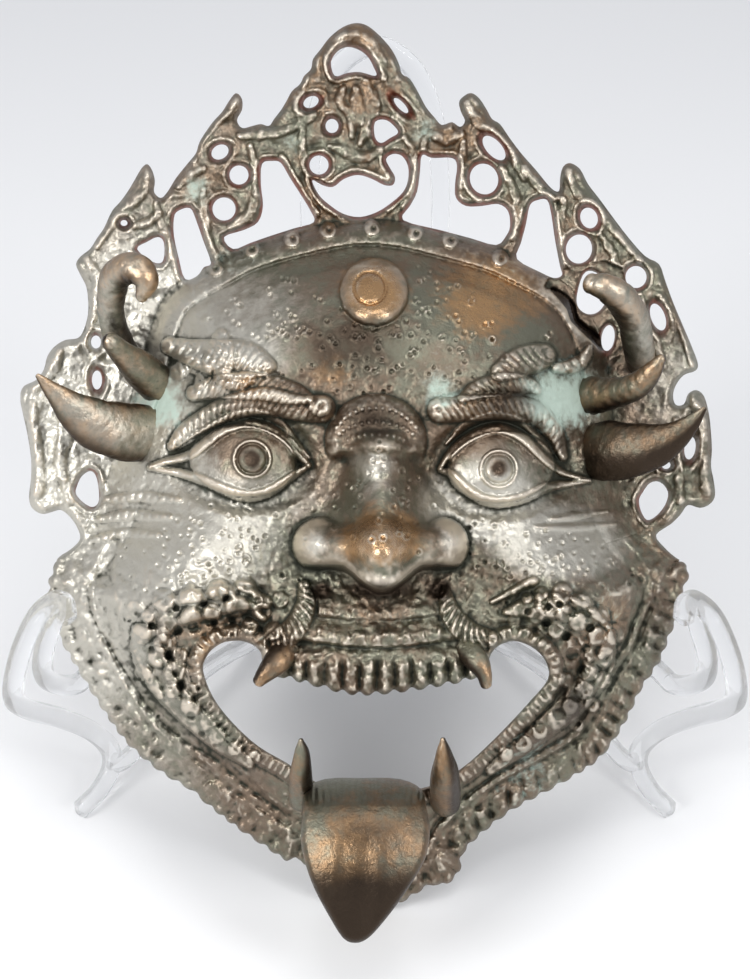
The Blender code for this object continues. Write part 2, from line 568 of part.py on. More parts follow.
def make_mask(collection, helpers):
    """The whole casting: the relief sheet with horns, ears, fangs and tongue cast onto it."""
    bronze = make_material("bronze", (0.16, 0.10, 0.07), 0.45, 0.9)
    left, top, right, bottom = DRAWN_BOX
    y, x = np.mgrid[top:bottom:RASTER_STEP, left:right:RASTER_STEP]
    depth = metal_depth(x, y)
    inside = depth_inside(x, y, smooth_curve(FACE, True, 3))
    carved = softened(carved_height(x, y, inside) * RELIEF, 1)
    reach = FACE_WALL / UNIT / RASTER_STEP
    on_face = eased((inside - 4) / 16)
    wall = CROWN_WALL + (FACE_WALL - CROWN_WALL) * on_face
    back = rolled_off(softened(carved, 14), FACE_WALL, reach) * on_face + (carved - CROWN_WALL) * (1 - on_face)
    back = np.minimum(back, carved - 0.7 * wall)
    body = solid_sheet(
        "bronze_mask", lambda px, py: sampled(depth, px, py), lambda px, py: sampled(carved, px, py),
        lambda px, py: sampled(back, px, py), CROWN_WALL / UNIT / 2, bronze, collection)
    others = [prong(name, *shape, bronze, helpers) for name, shape in PRONGS.items()]
    others.append(make_tongue(bronze, helpers))
    joined(body, others)
    frozen(body, others)
    thinned = body.modifiers.new("fewer_faces", "DECIMATE")
    body.data.calc_loop_triangles()
    thinned.ratio = min(1.0, TRIANGLES / len(body.data.loop_triangles))
    frozen(body, [])
    return body


def make_tongue(material, collection):
    """The tongue: a thick leaf that rolls out over the lower lip and hangs before the chin."""
    outline = smooth_curve(TONGUE, True, 3)
    rows, heights = smooth_curve(TONGUE_PROFILE, False).T

    def front(x, y):
        height = np.interp(y, rows, heights)
        middle = 364 - 8 * eased((y - 800) / 140)
        return (height - 3.5 * np.clip(np.abs(x - middle) / 66, 0, 1) ** 2.4) * RELIEF

    return solid_sheet(
        "tongue", lambda x, y: depth_inside(x, y, outline), front,
        lambda x, y: front(x, y) - TONGUE_WALL, TONGUE_WALL / UNIT / 2, material, collection)


def vertices(body):
    places = np.empty(len(body.data.vertices) * 3, np.float32)
    body.data.vertices.foreach_get("co", places)
    return places.reshape(-1, 3).astype(float)


def shifted(body, step):
    """The body's mesh moved by a step, its object left at the origin."""
    body.data.vertices.foreach_set("co", (vertices(body) + step).ravel())
    body.data.update()


def thinned_path(points, most_turn):
    """The points of a path without those where it runs nearly straight."""
    headings = unit(np.diff(points, axis=0))
    kept = [points[0]]
    heading = headings[0]
    for point, onward in zip(points[1:-1], headings[1:]):
        if heading.dot(onward) < math.cos(most_turn):
            kept.append(point)
            heading = onward
    return np.array([*kept, points[-1]])


def strap(name, path, thickness, material, collection):
    """A moulded strap along an upright path of points, its width in the path's own plane.

    Where the path nears the table it runs level, so that the strap's underside lies flat on it.
    """
    centres = smooth_curve(path, False, 5)
    centres[:, 2] = np.maximum(centres[:, 2], STRAP_WIDTH / 2)
    centres = thinned_path(centres, STRAP_TURN)
    along = unit(np.gradient(centres, axis=0))
    farthest = centres[np.argmax(np.hypot(*(centres - centres[0]).T[:2]))]
    normal = unit(np.cross(farthest - centres[0], (0.0, 0.0, 1.0)))
    across = unit(np.cross(along, normal))
    side = np.repeat(normal[None], len(centres), axis=0)
    return lofted(name, centres, across * STRAP_WIDTH / 2, side * thickness / 2, 8, material, collection,
                  STRAP_SQUARENESS)


def travel(body, other, heading):
    """How far a body can go along a unit heading before it meets the other one."""
    graph = bpy.context.evaluated_depsgraph_get()
    graph.update()
    trees = [BVHTree.FromObject(thing, graph) for thing in (body, other)]
    heading = Vector(heading)
    ahead = [trees[1].ray_cast(Vector(point), heading)[3] for point in vertices(body)]
    ahead += [trees[0].ray_cast(Vector(point), -heading)[3] for point in vertices(other)]
    return min(distance for distance in ahead if distance is not None)


def make_stand(collection, helpers):
    """The clear stand: two scroll-shaped sides with hooks and ledges, and the hoop behind the crown.

    A side's profiles are drawn as places forward of its ledge and up from the table.
    """
    clear = make_material("clear plastic", (0.93, 0.96, 0.97), 0.05, 0.0, 0.3)
    foot, ledge = STRAP_WIDTH / 2, LEDGE_HEIGHT - STRAP_WIDTH / 2
    top, reach = LEDGE_HEIGHT + LIP_RISE - STRAP_WIDTH / 2, SCROLL_REACH
    run = np.array([HOOP_HALF_WIDTH - LEDGE_HALF_WIDTH, HOOP_SETBACK])
    arm = np.linalg.norm(run)
    scroll = [(0.04, top - 0.26 * LIP_RISE), (0.05, top - 0.1 * LIP_RISE), (0.18, top),
              (0.5, top - 0.01 * LIP_RISE), (0.83, top - 0.24 * LIP_RISE), (1.0, top - 0.55 * LIP_RISE),
              (0.85, 1.08 * LEDGE_HEIGHT), (0.36, 0.83 * LEDGE_HEIGHT), (-0.11, 0.56 * LEDGE_HEIGHT),
              (-0.42, 0.3 * LEDGE_HEIGHT), (-0.4, 0.14 * LEDGE_HEIGHT), (-0.1, foot), (0.2, foot)]
    hook = [(0.12, top - 0.04 * LIP_RISE), (0.28, top - 0.2 * LIP_RISE), (0.46, top - 0.4 * LIP_RISE),
            (0.5, top - 0.6 * LIP_RISE), (0.35, top - 0.8 * LIP_RISE), (0, ledge), (-0.4, ledge)]
    scroll, hook = ([(forward * reach, up) for forward, up in profile] for profile in (scroll, hook))
    hook += [(-0.5 * arm, ledge), (-arm, ledge)]
    runner = [(-0.08, foot + 0.7 * RUNNER_RISE), (-0.16, foot + 0.3 * RUNNER_RISE),
              (-0.3, foot + 0.8 * RUNNER_RISE), (-0.45, foot + RUNNER_RISE), (-0.58, foot + 0.6 * RUNNER_RISE),
              (-0.72, foot), (-1.0, foot)]
    runner = [(forward * arm, up) for forward, up in runner]
    pieces = []
    for hand, side_name in ((-1, "left"), (1, "right")):
        for path_name, profile, thickness in (("scroll", scroll, 1.0), ("hook", hook, 0.95), ("runner", runner, 0.9)):
            path = [(hand * (LEDGE_HALF_WIDTH - forward * run[0] / arm), -forward * run[1] / arm, up)
                    for forward, up in profile]
            pieces.append(strap(f"{side_name}_{path_name}", path, thickness * STRAP_THICKNESS, clear, helpers))
    post = [(1.0, 0.01), (1.0, 0.35), (1.0, 0.7), (0.97, 0.8), (0.86, 0.89), (0.55, 0.965), (0.0, 1.0)]
    crest = HOOP_HEIGHT - STRAP_WIDTH / 2
    path = [(-HOOP_HALF_WIDTH * across, HOOP_SETBACK, crest * up) for across, up in post]
    path += [(-across, back, up) for across, back, up in path[-2::-1]]
    hoop = strap("display_stand", path, STRAP_THICKNESS, clear, collection)
    joined(hoop, pieces)
    frozen(hoop, pieces)
    return hoop


def main():
    for old in list(bpy.data.objects):
        bpy.data.objects.remove(old)
    collection = bpy.data.collections.new("bronze mask")
    helpers = bpy.data.collections.new("cast on")
    for group in (collection, helpers):
        bpy.context.scene.collection.children.link(group)
    helpers.hide_render = True
    mask = make_mask(collection, helpers)
    stand = make_stand(collection, helpers)
    resting = placed(*np.array([*REST_PLACE, PLATE * RELIEF - CROWN_WALL / 2]))
    shifted(mask, (0, -resting[1], LEDGE_HEIGHT - resting[2] + SEATING_LIFT))
    for heading in ((0, 0, -1), (0, 1, 0), (0, 0, -1)):
        shifted(mask, np.array(heading) * (travel(mask, stand, heading) - GAP))
    points = np.vstack([vertices(mask), vertices(stand)])
    low, high = points.min(axis=0), points.max(axis=0)
    middle = np.array([(low[0] + high[0]) / 2, (low[1] + high[1]) / 2, low[2]])
    for body in (mask, stand):
        shifted(body, -middle)


if __name__ == "__main__":
    main()
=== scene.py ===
"""A cast bronze guardian mask leaning on its clear plastic stand, on a pale table in soft light.

The mask is a relief: each place of its drawing, in drawing units right and down, has a height
over the back plane in millimetres. The relief is worked out on a fine grid as whole arrays, and
closed sheets and bars are then laid through it.
"""

import math

import bpy
import numpy as np
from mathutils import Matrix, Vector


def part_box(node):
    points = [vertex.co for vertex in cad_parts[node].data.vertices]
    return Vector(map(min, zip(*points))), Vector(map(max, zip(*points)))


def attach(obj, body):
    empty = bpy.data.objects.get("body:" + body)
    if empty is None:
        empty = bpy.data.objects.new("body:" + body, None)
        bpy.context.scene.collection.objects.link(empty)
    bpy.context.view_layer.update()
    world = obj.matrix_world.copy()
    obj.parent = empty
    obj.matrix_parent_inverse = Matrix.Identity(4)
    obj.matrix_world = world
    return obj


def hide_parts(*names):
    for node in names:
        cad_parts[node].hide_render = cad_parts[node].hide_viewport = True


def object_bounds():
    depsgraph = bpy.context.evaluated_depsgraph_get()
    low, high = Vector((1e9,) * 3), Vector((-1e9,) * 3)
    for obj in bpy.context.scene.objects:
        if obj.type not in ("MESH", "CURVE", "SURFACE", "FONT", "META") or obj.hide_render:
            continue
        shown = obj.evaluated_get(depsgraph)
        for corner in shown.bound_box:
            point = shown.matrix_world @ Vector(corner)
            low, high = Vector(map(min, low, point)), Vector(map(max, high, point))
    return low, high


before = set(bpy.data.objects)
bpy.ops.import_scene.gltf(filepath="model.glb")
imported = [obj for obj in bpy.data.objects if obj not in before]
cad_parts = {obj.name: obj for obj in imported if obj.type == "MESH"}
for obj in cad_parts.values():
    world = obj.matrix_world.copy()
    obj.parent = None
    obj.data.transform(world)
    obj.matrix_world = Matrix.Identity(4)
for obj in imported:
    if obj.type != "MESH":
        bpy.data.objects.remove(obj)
cad_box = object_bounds()

# The mask's sizes in metres, and where the middle of its drawing stands
MASK_HEIGHT = 0.251
FACE_WALL = 0.003
CROWN_WALL = 0.0036
TONGUE_WALL = 0.0042
LEAN = math.radians(35)
UNIT = MASK_HEIGHT / 920
MILLI = 0.001
DRAFT_POINT = 2 * MASK_HEIGHT
DRAWN_CENTRE = (375.0, 489.5)
MASK_PLACE = np.array([0.0, 0.015408, 0.088361])
DRAWN_BOX = (10.0, 14.0, 728.0, 956.0)
FACE_STEP = 1.4
CROWN_STEP = 1.5
MOST_TRIANGLES = 196000
EDGE_ROUND = CROWN_WALL / UNIT / 2

# The stand's sizes
LEDGE_HEIGHT = 0.049
LEDGE_HALF_WIDTH = 0.081
STRAP_WIDTH = 0.0055
STRAP_THICKNESS = 0.0045
LIP_RISE = 0.0315
SCROLL_REACH = 0.0238
RUNNER_RISE = 0.0075
HOOP_HEIGHT = 0.190
HOOP_HALF_WIDTH = 0.019
HOOP_SETBACK = 0.102

# Colours of the bronze, as light shares of red, green and blue
BRONZE_OLIVE = (0.19, 0.187, 0.14)
BRONZE_BROWN = (0.195, 0.145, 0.105)
# Pale: paler patina, and also painted sheen and highlights
BRONZE_PALE_AND_SHEEN = (0.54, 0.515, 0.45)
BRONZE_COPPER = (0.44, 0.265, 0.13)
BRONZE_POLISHED = (0.72, 0.64, 0.53)
BRONZE_RED = (0.26, 0.10, 0.065)
# Near black, for dark grains and for the hollows, where it is dark patina and painted shade
BRONZE_HOLLOW = (0.05, 0.052, 0.040)
# Dark: dark patina, and also painted shade
BRONZE_DARK_AND_SHADE = (0.05, 0.036, 0.026)
VERDIGRIS = (0.43, 0.52, 0.45)

# Relief heights in millimetres
PLATE = 6.0
FACE_RISE = 34.0
JAW_FLANGE = 8.0

# The carving's rows, in drawing units
EDGE_REACH = 18
PRONG_SIDES = 40
CUT_ROWS = 9
CUT_PITCH = 11
MOUTH_MIDDLE = 377
MUZZLE_HALF = 112
TEETH_FROM, TEETH_TO = 640, 705
TOOTH_PITCH = 17.5
LOCK_PITCH = 17.5
MILLING_PITCH = 6.5
THIRD_EYE = (374, 292)
CRESCENT = (376, 441)
CRESCENT_DOT = (2.3, 0.8)
# Half width and rise of each row of dots in the crescent, and how many there are
CRESCENT_ROWS = [(46, 38, 15), (42, 24, 13), (33, 12, 10)]
# Ridges and grooves along an edge or around a middle: distance from it, half width and rise
RIM_BANDS = [(13, 13, 2.0), (27, 2.5, -0.3)]
RIM_GROOVE = (36, 11, -0.9)
BEARD_LINES = [(29, 3, -0.9), (34, 3.5, 0.7), (39, 2, -0.5), (43, 2, 0.4)]
THIRD_EYE_RINGS = [(16, 1.8, -0.8), (0, 15, 0.5)]
EYE_RINGS = [(0, 14, 1.5), (18, 2.2, 0.9), (15.5, 1.8, -0.6)]
MOUTH_ROLL, MOUTH_GROOVE = (8, 9, 2.6), (15.4, 2.4, -0.8)
# How much a place's standing out from the mean around it wears it, or its sinking darkens it with dark patina
# and painted shade, and the reach of each mean
WEAR_AND_SHADE_REACHES = [(1.3, 1), (0.8, 3), (0.35, 8)]
# Where the face, beard and crown are parted, and how far each laps under the next
BEARD_WIDTH, BEARD_TOP, CROWN_FOOT, LAP = 46, 528, 562, 5

# The room and the camera
ROOM_COLOUR = (0.93, 0.95, 1.0, 1)
ROOM_STRENGTH = 0.74
LAMPS = {"window light": ((-0.64, -0.52, 0.6), 0.34, 5.8), "side light": ((0.58, -0.5, 0.58), 0.24, 3.2),
         "top light": ((0.05, -0.1, 0.95), 0.4, 1.8)}
LIT_PLACE = (0, 0, 0.09)
TABLE_HALF = 2.5
TABLE_CELLS = 10
TABLE_COLOUR = (0.78, 0.78, 0.78, 1)
PHOTO_ROWS = 979
SENSOR = 36

# Outline of the casting, without horns, ears and tongue, clockwise from the crown's tip
CROWN_RIGHT = [
    (356, 23), (368, 26), (381, 37), (392, 50), (399, 64), (402, 74), (410, 79), (418, 92), (426, 107),
    (435, 118), (442, 125), (452, 122), (460, 127), (465, 121), (461, 112), (459, 102), (464, 96),
    (471, 93), (479, 98), (487, 110), (492, 119), (500, 124), (509, 137), (521, 153), (536, 170),
    (551, 188), (559, 191), (560, 178), (563, 167), (570, 163), (580, 169), (588, 184), (598, 197),
    (612, 216), (628, 237), (645, 256), (659, 264), (665, 280), (673, 302), (684, 328), (692, 347),
    (698, 364), (695, 371), (684, 375), (676, 385), (673, 396), (676, 405), (684, 404), (688, 394),
    (696, 390), (704, 396), (709, 414), (711, 432), (712, 450), (711, 466), (714, 482), (715, 496),
    (710, 504), (700, 508), (688, 505), (681, 514), (671, 524), (656, 535),
]
BEARD_RIGHT = [
    (664, 547), (675, 557), (688, 566), (689, 577), (684, 592), (681, 611), (671, 634), (660, 662),
    (642, 689), (626, 722), (602, 757), (572, 778), (545, 793), (512, 811), (482, 834), (464, 853),
    (460, 872), (446, 885), (430, 886), (410, 898), (388, 908),
]
BEARD_LEFT = [
    (350, 908), (318, 884), (301, 861), (286, 861), (266, 848), (239, 830), (208, 806), (191, 791),
    (167, 777), (143, 759), (121, 737), (97, 702), (76, 668), (57, 634), (49, 608), (48, 583), (51, 572),
    (58, 558),
]
PLATE_LEFT = [
    (71, 549), (80, 539), (77, 527), (70, 517), (61, 510), (52, 512), (42, 514), (32, 508), (29, 497),
    (31, 478), (31, 458), (27, 432), (22, 410), (20, 396), (24, 386), (36, 380), (44, 369), (47, 357),
    (54, 347), (65, 340), (78, 338), (84, 329), (88, 314), (88, 299), (86, 286), (80, 274), (76, 264),
    (81, 256), (90, 249), (97, 238), (104, 228), (112, 211), (120, 202), (128, 191), (134, 181), (141, 169),
    (147, 164), (152, 170), (155, 181), (154, 192), (161, 198), (168, 191), (176, 178), (188, 163),
    (196, 153), (200, 141), (212, 123), (222, 112), (229, 101), (236, 93), (242, 99), (242, 110),
    (237, 120), (242, 128), (252, 126), (261, 124), (269, 126), (274, 119), (281, 110), (287, 100),
    (292, 91), (300, 84), (304, 76), (311, 69), (313, 59), (320, 50), (330, 37), (343, 27),
]
OUTLINE = CROWN_RIGHT + BEARD_RIGHT + BEARD_LEFT + PLATE_LEFT

# Round holes: centre, half width, half height and turn in degrees
ROUND_HOLES = [
    (311, 102, 8, 5.5, -25), (332, 126, 6.5, 7, 0), (319, 165, 9.5, 9.5, 0), (401, 105.5, 10, 3.4, 47),
    (220, 152, 9, 7, -30), (239, 175, 9.5, 9.5, 30), (224, 209, 11.5, 11.5, 0), (124, 223, 3.5, 3, 0),
    (96, 342, 5, 6.5, 0), (97, 380, 5, 9.5, 0), (484, 179, 14, 15.5, -20), (589, 218, 8.5, 10.5, -20),
    (579, 249, 13, 14.5, 10), (636, 277, 10.5, 11, 0), (658, 317, 7, 14, -20), (608, 338, 6.5, 13, 8),
    (690, 448, 5.5, 11.5, 8), (666, 465, 4.5, 4, 0), (494, 148, 15, 7.5, 48),
]
# Openings with an outline of their own
ARCH_HOLE = [
    (331, 62), (338, 51), (348, 47), (359, 50), (368, 57), (374, 68), (376, 76), (360, 72), (347, 73),
    (335, 76),
]
LEAF_HOLE = [(375, 122), (386, 120), (395, 127), (398, 133), (390, 138), (381, 143), (375, 137)]
HEART_OPENING = [
    (386, 159), (393, 154), (402, 156), (408, 166), (408, 180), (403, 192), (391, 203), (377, 212),
    (360, 217), (344, 214), (331, 206), (319, 195), (312, 180), (322, 185), (333, 187), (344, 179),
    (358, 175), (372, 179), (384, 185), (393, 185), (395, 177), (390, 168),
]
LEFT_BAY = [
    (262, 164), (272, 161), (281, 163), (290, 178), (301, 195), (310, 210), (314, 222), (295, 228),
    (270, 236), (250, 243), (233, 249), (224, 237), (244, 230), (258, 222), (263, 206), (261, 185),
]
RIGHT_BAY = [
    (422, 155), (432, 158), (452, 158), (457, 166), (455, 184), (456, 198), (466, 206), (482, 206),
    (498, 204), (508, 211), (510, 226), (506, 236), (496, 245), (470, 238), (440, 230), (403, 220),
    (410, 206), (417, 192), (420, 172),
]
LEFT_WINDOW = [
    (174, 218), (178, 211), (190, 208), (196, 220), (203, 240), (211, 263), (204, 267), (197, 276),
    (185, 279), (179, 259), (174, 236),
]
RIGHT_WINDOW = [
    (530, 205), (538, 200), (547, 200), (551, 213), (555, 240), (560, 266), (562, 275), (554, 278),
    (540, 272), (517, 259), (521, 243), (526, 224),
]
LEFT_HORN_GAP = [(137, 249), (147, 242), (158, 237), (164, 243), (163, 261), (153, 262)]
RIGHT_HORN_GAP = [
    (583, 275), (592, 271), (604, 280), (606, 300), (598, 312), (587, 314), (578, 307), (577, 295),
]
LEFT_PLATE_HOLE = [(77, 486), (82, 476), (91, 471), (97, 479), (99, 500), (93, 507), (84, 503), (76, 494)]
RIGHT_PLATE_HOLE = [
    (639, 500), (643, 492), (650, 483), (660, 482), (668, 492), (665, 505), (656, 516), (647, 520),
    (641, 511),
]
MOUTH = [
    (203, 670), (207, 656), (214, 648), (225, 642), (241, 641), (253, 645), (261, 653), (263, 666),
    (272, 675), (290, 680), (320, 688), (350, 695), (380, 695), (420, 690), (455, 684), (474, 679),
    (486, 669), (491, 654), (500, 645), (514, 641), (530, 646), (543, 657), (549, 672), (545, 684),
    (531, 700), (510, 723), (487, 746), (462, 768), (430, 786), (400, 790), (360, 789), (320, 784),
    (287, 763), (258, 746), (232, 722), (213, 697),
]
OPENINGS = [ARCH_HOLE, LEAF_HOLE, HEART_OPENING, LEFT_BAY, RIGHT_BAY, LEFT_WINDOW, RIGHT_WINDOW,
            LEFT_HORN_GAP, RIGHT_HORN_GAP, LEFT_PLATE_HOLE, RIGHT_PLATE_HOLE, MOUTH]

# Where the face rises from the plates: its rim over the forehead and beside the ears
FACE_RIM = [
    (168, 292), (186, 278), (215, 261), (251, 243), (300, 229), (352, 219), (400, 221), (450, 233),
    (496, 246), (530, 262), (560, 279), (582, 300), (598, 330), (608, 365), (613, 410), (618, 455),
    (628, 500), (645, 530),
]
FACE_SIDE_LEFT = [(76, 542), (94, 512), (108, 475), (122, 430), (134, 390), (146, 345), (156, 312)]
FACE = FACE_RIM + BEARD_RIGHT + BEARD_LEFT + FACE_SIDE_LEFT
BROKEN_SHELL = [
    (544, 286), (557, 292), (568, 300), (572, 314), (578, 326), (590, 334), (600, 348), (622, 350),
    (622, 268), (566, 268),
]
RIM_BEADS = [(215, 268), (251, 249), (292, 239), (328, 230), (372, 228), (415, 233), (450, 240), (500, 258)]

# Raised strokes: places with a half width each, then rise, hatch pitch, hatch depth and slant
BROWS = [
    ([(172, 446, 5), (185, 432, 9), (205, 420, 11), (228, 409, 13), (263, 401, 14), (299, 408, 13),
      (322, 409, 14)], 5.5, 7, 0.7, 0.5),
    ([(194, 393, 8), (225, 386, 13), (262, 387, 14), (290, 393, 12), (308, 398, 6)], 4.2, 7, 0.6, 0.6),
    ([(170, 346, 9), (190, 352, 13), (215, 357, 18), (245, 360, 19), (268, 366, 9)], 4.6, 7, 0.6, 0.4),
    ([(218, 362, 16), (221, 346, 13), (222, 334, 6)], 2.4, 9, 0.7, 0.3),
    ([(440, 410, 13), (470, 408, 13), (505, 407, 13), (535, 413, 12), (553, 431, 10), (563, 456, 5)], 5.5,
      7, 0.7, -0.5),
    ([(462, 398, 5), (480, 389, 10), (505, 384, 12), (528, 385, 9), (538, 391, 5)], 3.8, 7, 0.6, -0.6),
    ([(500, 372, 10), (518, 363, 15), (540, 357, 14), (548, 356, 8)], 4.6, 7, 0.6, -0.5),
    ([(556, 368, 5), (574, 366, 8), (586, 356, 6), (590, 347, 3)], 4.4, 9, 0.6, -0.4),
    ([(178, 372, 8), (190, 364, 9), (204, 372, 8), (200, 384, 6)], 2.4, 7, 0.6, 0.5),
    ([(222, 376, 9), (236, 382, 9), (250, 378, 7)], 2.2, 7, 0.6, 0.5),
]
LIDS = [
    ([(150, 466, 2.5), (168, 461, 4), (190, 455, 5), (205, 444, 5.5), (220, 432, 5.5), (240, 424, 5.5),
      (258, 424, 5.5), (275, 431, 5.5), (290, 443, 5), (300, 456, 4.5), (309, 465, 2.5)], 2.8, 0, 0, 0),
    ([(178, 448, 2), (200, 434, 4), (225, 419, 4.5), (250, 413, 4.5), (270, 417, 4.5), (285, 427, 4),
      (297, 442, 3), (309, 458, 1.5)], 2.0, 0, 0, 0),
    ([(150, 468, 2.5), (180, 473, 4.5), (205, 481, 5.5), (225, 490, 6), (245, 496, 6), (262, 494, 6),
      (277, 487, 5.5), (292, 476, 4.5), (308, 466, 2.5)], 2.4, 0, 0, 0),
    ([(440, 468, 2.5), (450, 454, 4.5), (462, 443, 5), (478, 433, 5.5), (495, 428, 5.5), (510, 431, 5.5),
      (525, 440, 5.5), (537, 452, 5), (550, 464, 4.5), (565, 474, 3.5), (590, 480, 2)], 2.8, 0, 0, 0),
    ([(446, 444, 1.5), (462, 428, 4), (480, 419, 4.5), (500, 416, 4.5), (522, 423, 4.5), (540, 438, 4),
      (553, 452, 3)], 1.8, 0, 0, 0),
    ([(440, 470, 2.5), (452, 474, 4.5), (463, 485, 5.5), (475, 495, 6), (488, 501, 6), (505, 502, 6),
      (525, 497, 6), (542, 489, 5.5), (558, 485, 4.5), (590, 481, 2)], 2.4, 0, 0, 0),
]
CHEEK_ROLLS = [
    ([(304, 586, 6), (306, 604, 10), (298, 624, 12), (284, 638, 13), (264, 650, 10)], 3.6, 7, 1.1, 0.5),
    ([(445, 592, 6), (449, 610, 10), (460, 626, 12), (474, 636, 12), (489, 638, 9)], 3.6, 7, 1.1, -0.5),
]
WHISKERS = [
    ([(552, 519, 2), (575, 516, 4), (607, 512, 2)], 1.1, 0, 0, 0),
    ([(536, 527, 2), (575, 527, 4), (616, 524, 2)], 1.0, 0, 0, 0),
    ([(102, 500, 3), (140, 497, 6), (180, 500, 3)], 1.3, 8, 0.5, 0.3),
    ([(96, 520, 3), (130, 515, 6), (170, 517, 3)], 1.3, 8, 0.5, 0.3),
    ([(92, 540, 3), (125, 533, 5), (160, 535, 3)], 1.1, 8, 0.5, 0.3),
    ([(492, 602, 2.5), (511, 592, 4), (526, 584, 5), (534, 581, 5)], 2.2, 0, 0, 0),
    ([(538, 604, 4), (547, 609, 8), (559, 614, 4)], 1.6, 4, 0.6, 0.4),
    ([(550, 601, 3), (562, 606, 5), (574, 613, 3)], 1.8, 0, 0, 0),
]
CURL_RIDGES = [
    [(181, 600, 6), (191, 595, 8), (202, 599, 5)], [(182, 620, 5), (193, 613, 8), (206, 612, 7),
    (218, 615, 4)], [(225, 610, 6), (236, 603, 8), (250, 608, 7), (263, 618, 4)], [(240, 585, 6),
    (252, 589, 6), (260, 602, 4)], [(210, 594, 5), (220, 587, 8), (232, 592, 5)], [(162, 632, 6),
    (169, 640, 7), (172, 652, 4)], [(146, 672, 5), (153, 684, 6), (160, 696, 4)], [(170, 664, 6),
    (180, 668, 7), (186, 680, 5)], [(136, 628, 5), (146, 634, 6), (155, 632, 4)], [(612, 634, 5),
    (609, 645, 7), (602, 655, 5)], [(592, 612, 5), (602, 616, 7), (608, 626, 4)], [(575, 598, 5),
    (586, 603, 7), (592, 610, 4)],
]
CURLS = [
    (134, 612, 11), (164, 600, 12), (191, 596, 12), (218, 590, 11), (246, 586, 10), (237, 605, 12),
    (212, 612, 9), (191, 617, 11), (167, 624, 10), (141, 634, 11), (163, 643, 10), (158, 657, 11),
    (143, 672, 9), (174, 672, 11), (172, 690, 9), (191, 706, 11), (208, 722, 9), (217, 736, 9),
    (235, 748, 8), (253, 757, 8), (280, 600, 9), (262, 612, 10), (273, 631, 10), (250, 626, 9),
    (148, 616, 7), (180, 655, 8), (190, 690, 8), (562, 593, 11), (581, 600, 10), (600, 615, 10),
    (614, 634, 11), (597, 636, 10), (605, 657, 11), (590, 672, 9), (541, 594, 8), (527, 598, 6),
    (536, 615, 9), (564, 614, 9), (578, 622, 10), (556, 630, 9), (575, 644, 10), (588, 655, 8),
    (584, 690, 10), (570, 706, 9), (556, 720, 10), (540, 732, 8), (524, 744, 9), (506, 754, 8),
    (514, 621, 7), (566, 680, 8), (603, 680, 9), (592, 705, 8), (577, 724, 8),
]
# The nose: its ridge with a half width, and its height down the drawing
NOSE_RIDGE = [(381, 440, 32), (381, 462, 42), (381, 495, 54), (382, 530, 70), (382, 575, 66)]
NOSE_HEIGHTS = [(430, 3), (446, 12), (462, 14.5), (480, 14), (505, 18), (535, 24), (560, 26), (590, 26)]
NOSE_LUMPS = [
    (382, 547, 36, 36, 29), (323, 545, 31, 28, 16.5), (442, 545, 27, 28, 16.5), (352, 547, 36, 27, 21),
    (412, 547, 34, 27, 21),
]
NOSE_FOOT = 562.0
NOSE_SAG = 24.0
# Broad swellings and hollows: centre, half width, half height, turn in degrees, rise
SWELLINGS = [
    (187, 566, 92, 82, 0, 6), (572, 566, 92, 82, 0, 6), (240, 458, 100, 62, 4, -5),
    (503, 458, 100, 62, -4, -5), (376, 640, 150, 105, 0, 7),
]
ROUNDS = [(243, 461, 54, 36, 5, 8), (501, 467, 54, 36, -5, 8)]
EYES = [(243, 461, 5, 252, 459), (501, 467, -5, 499, 469)]

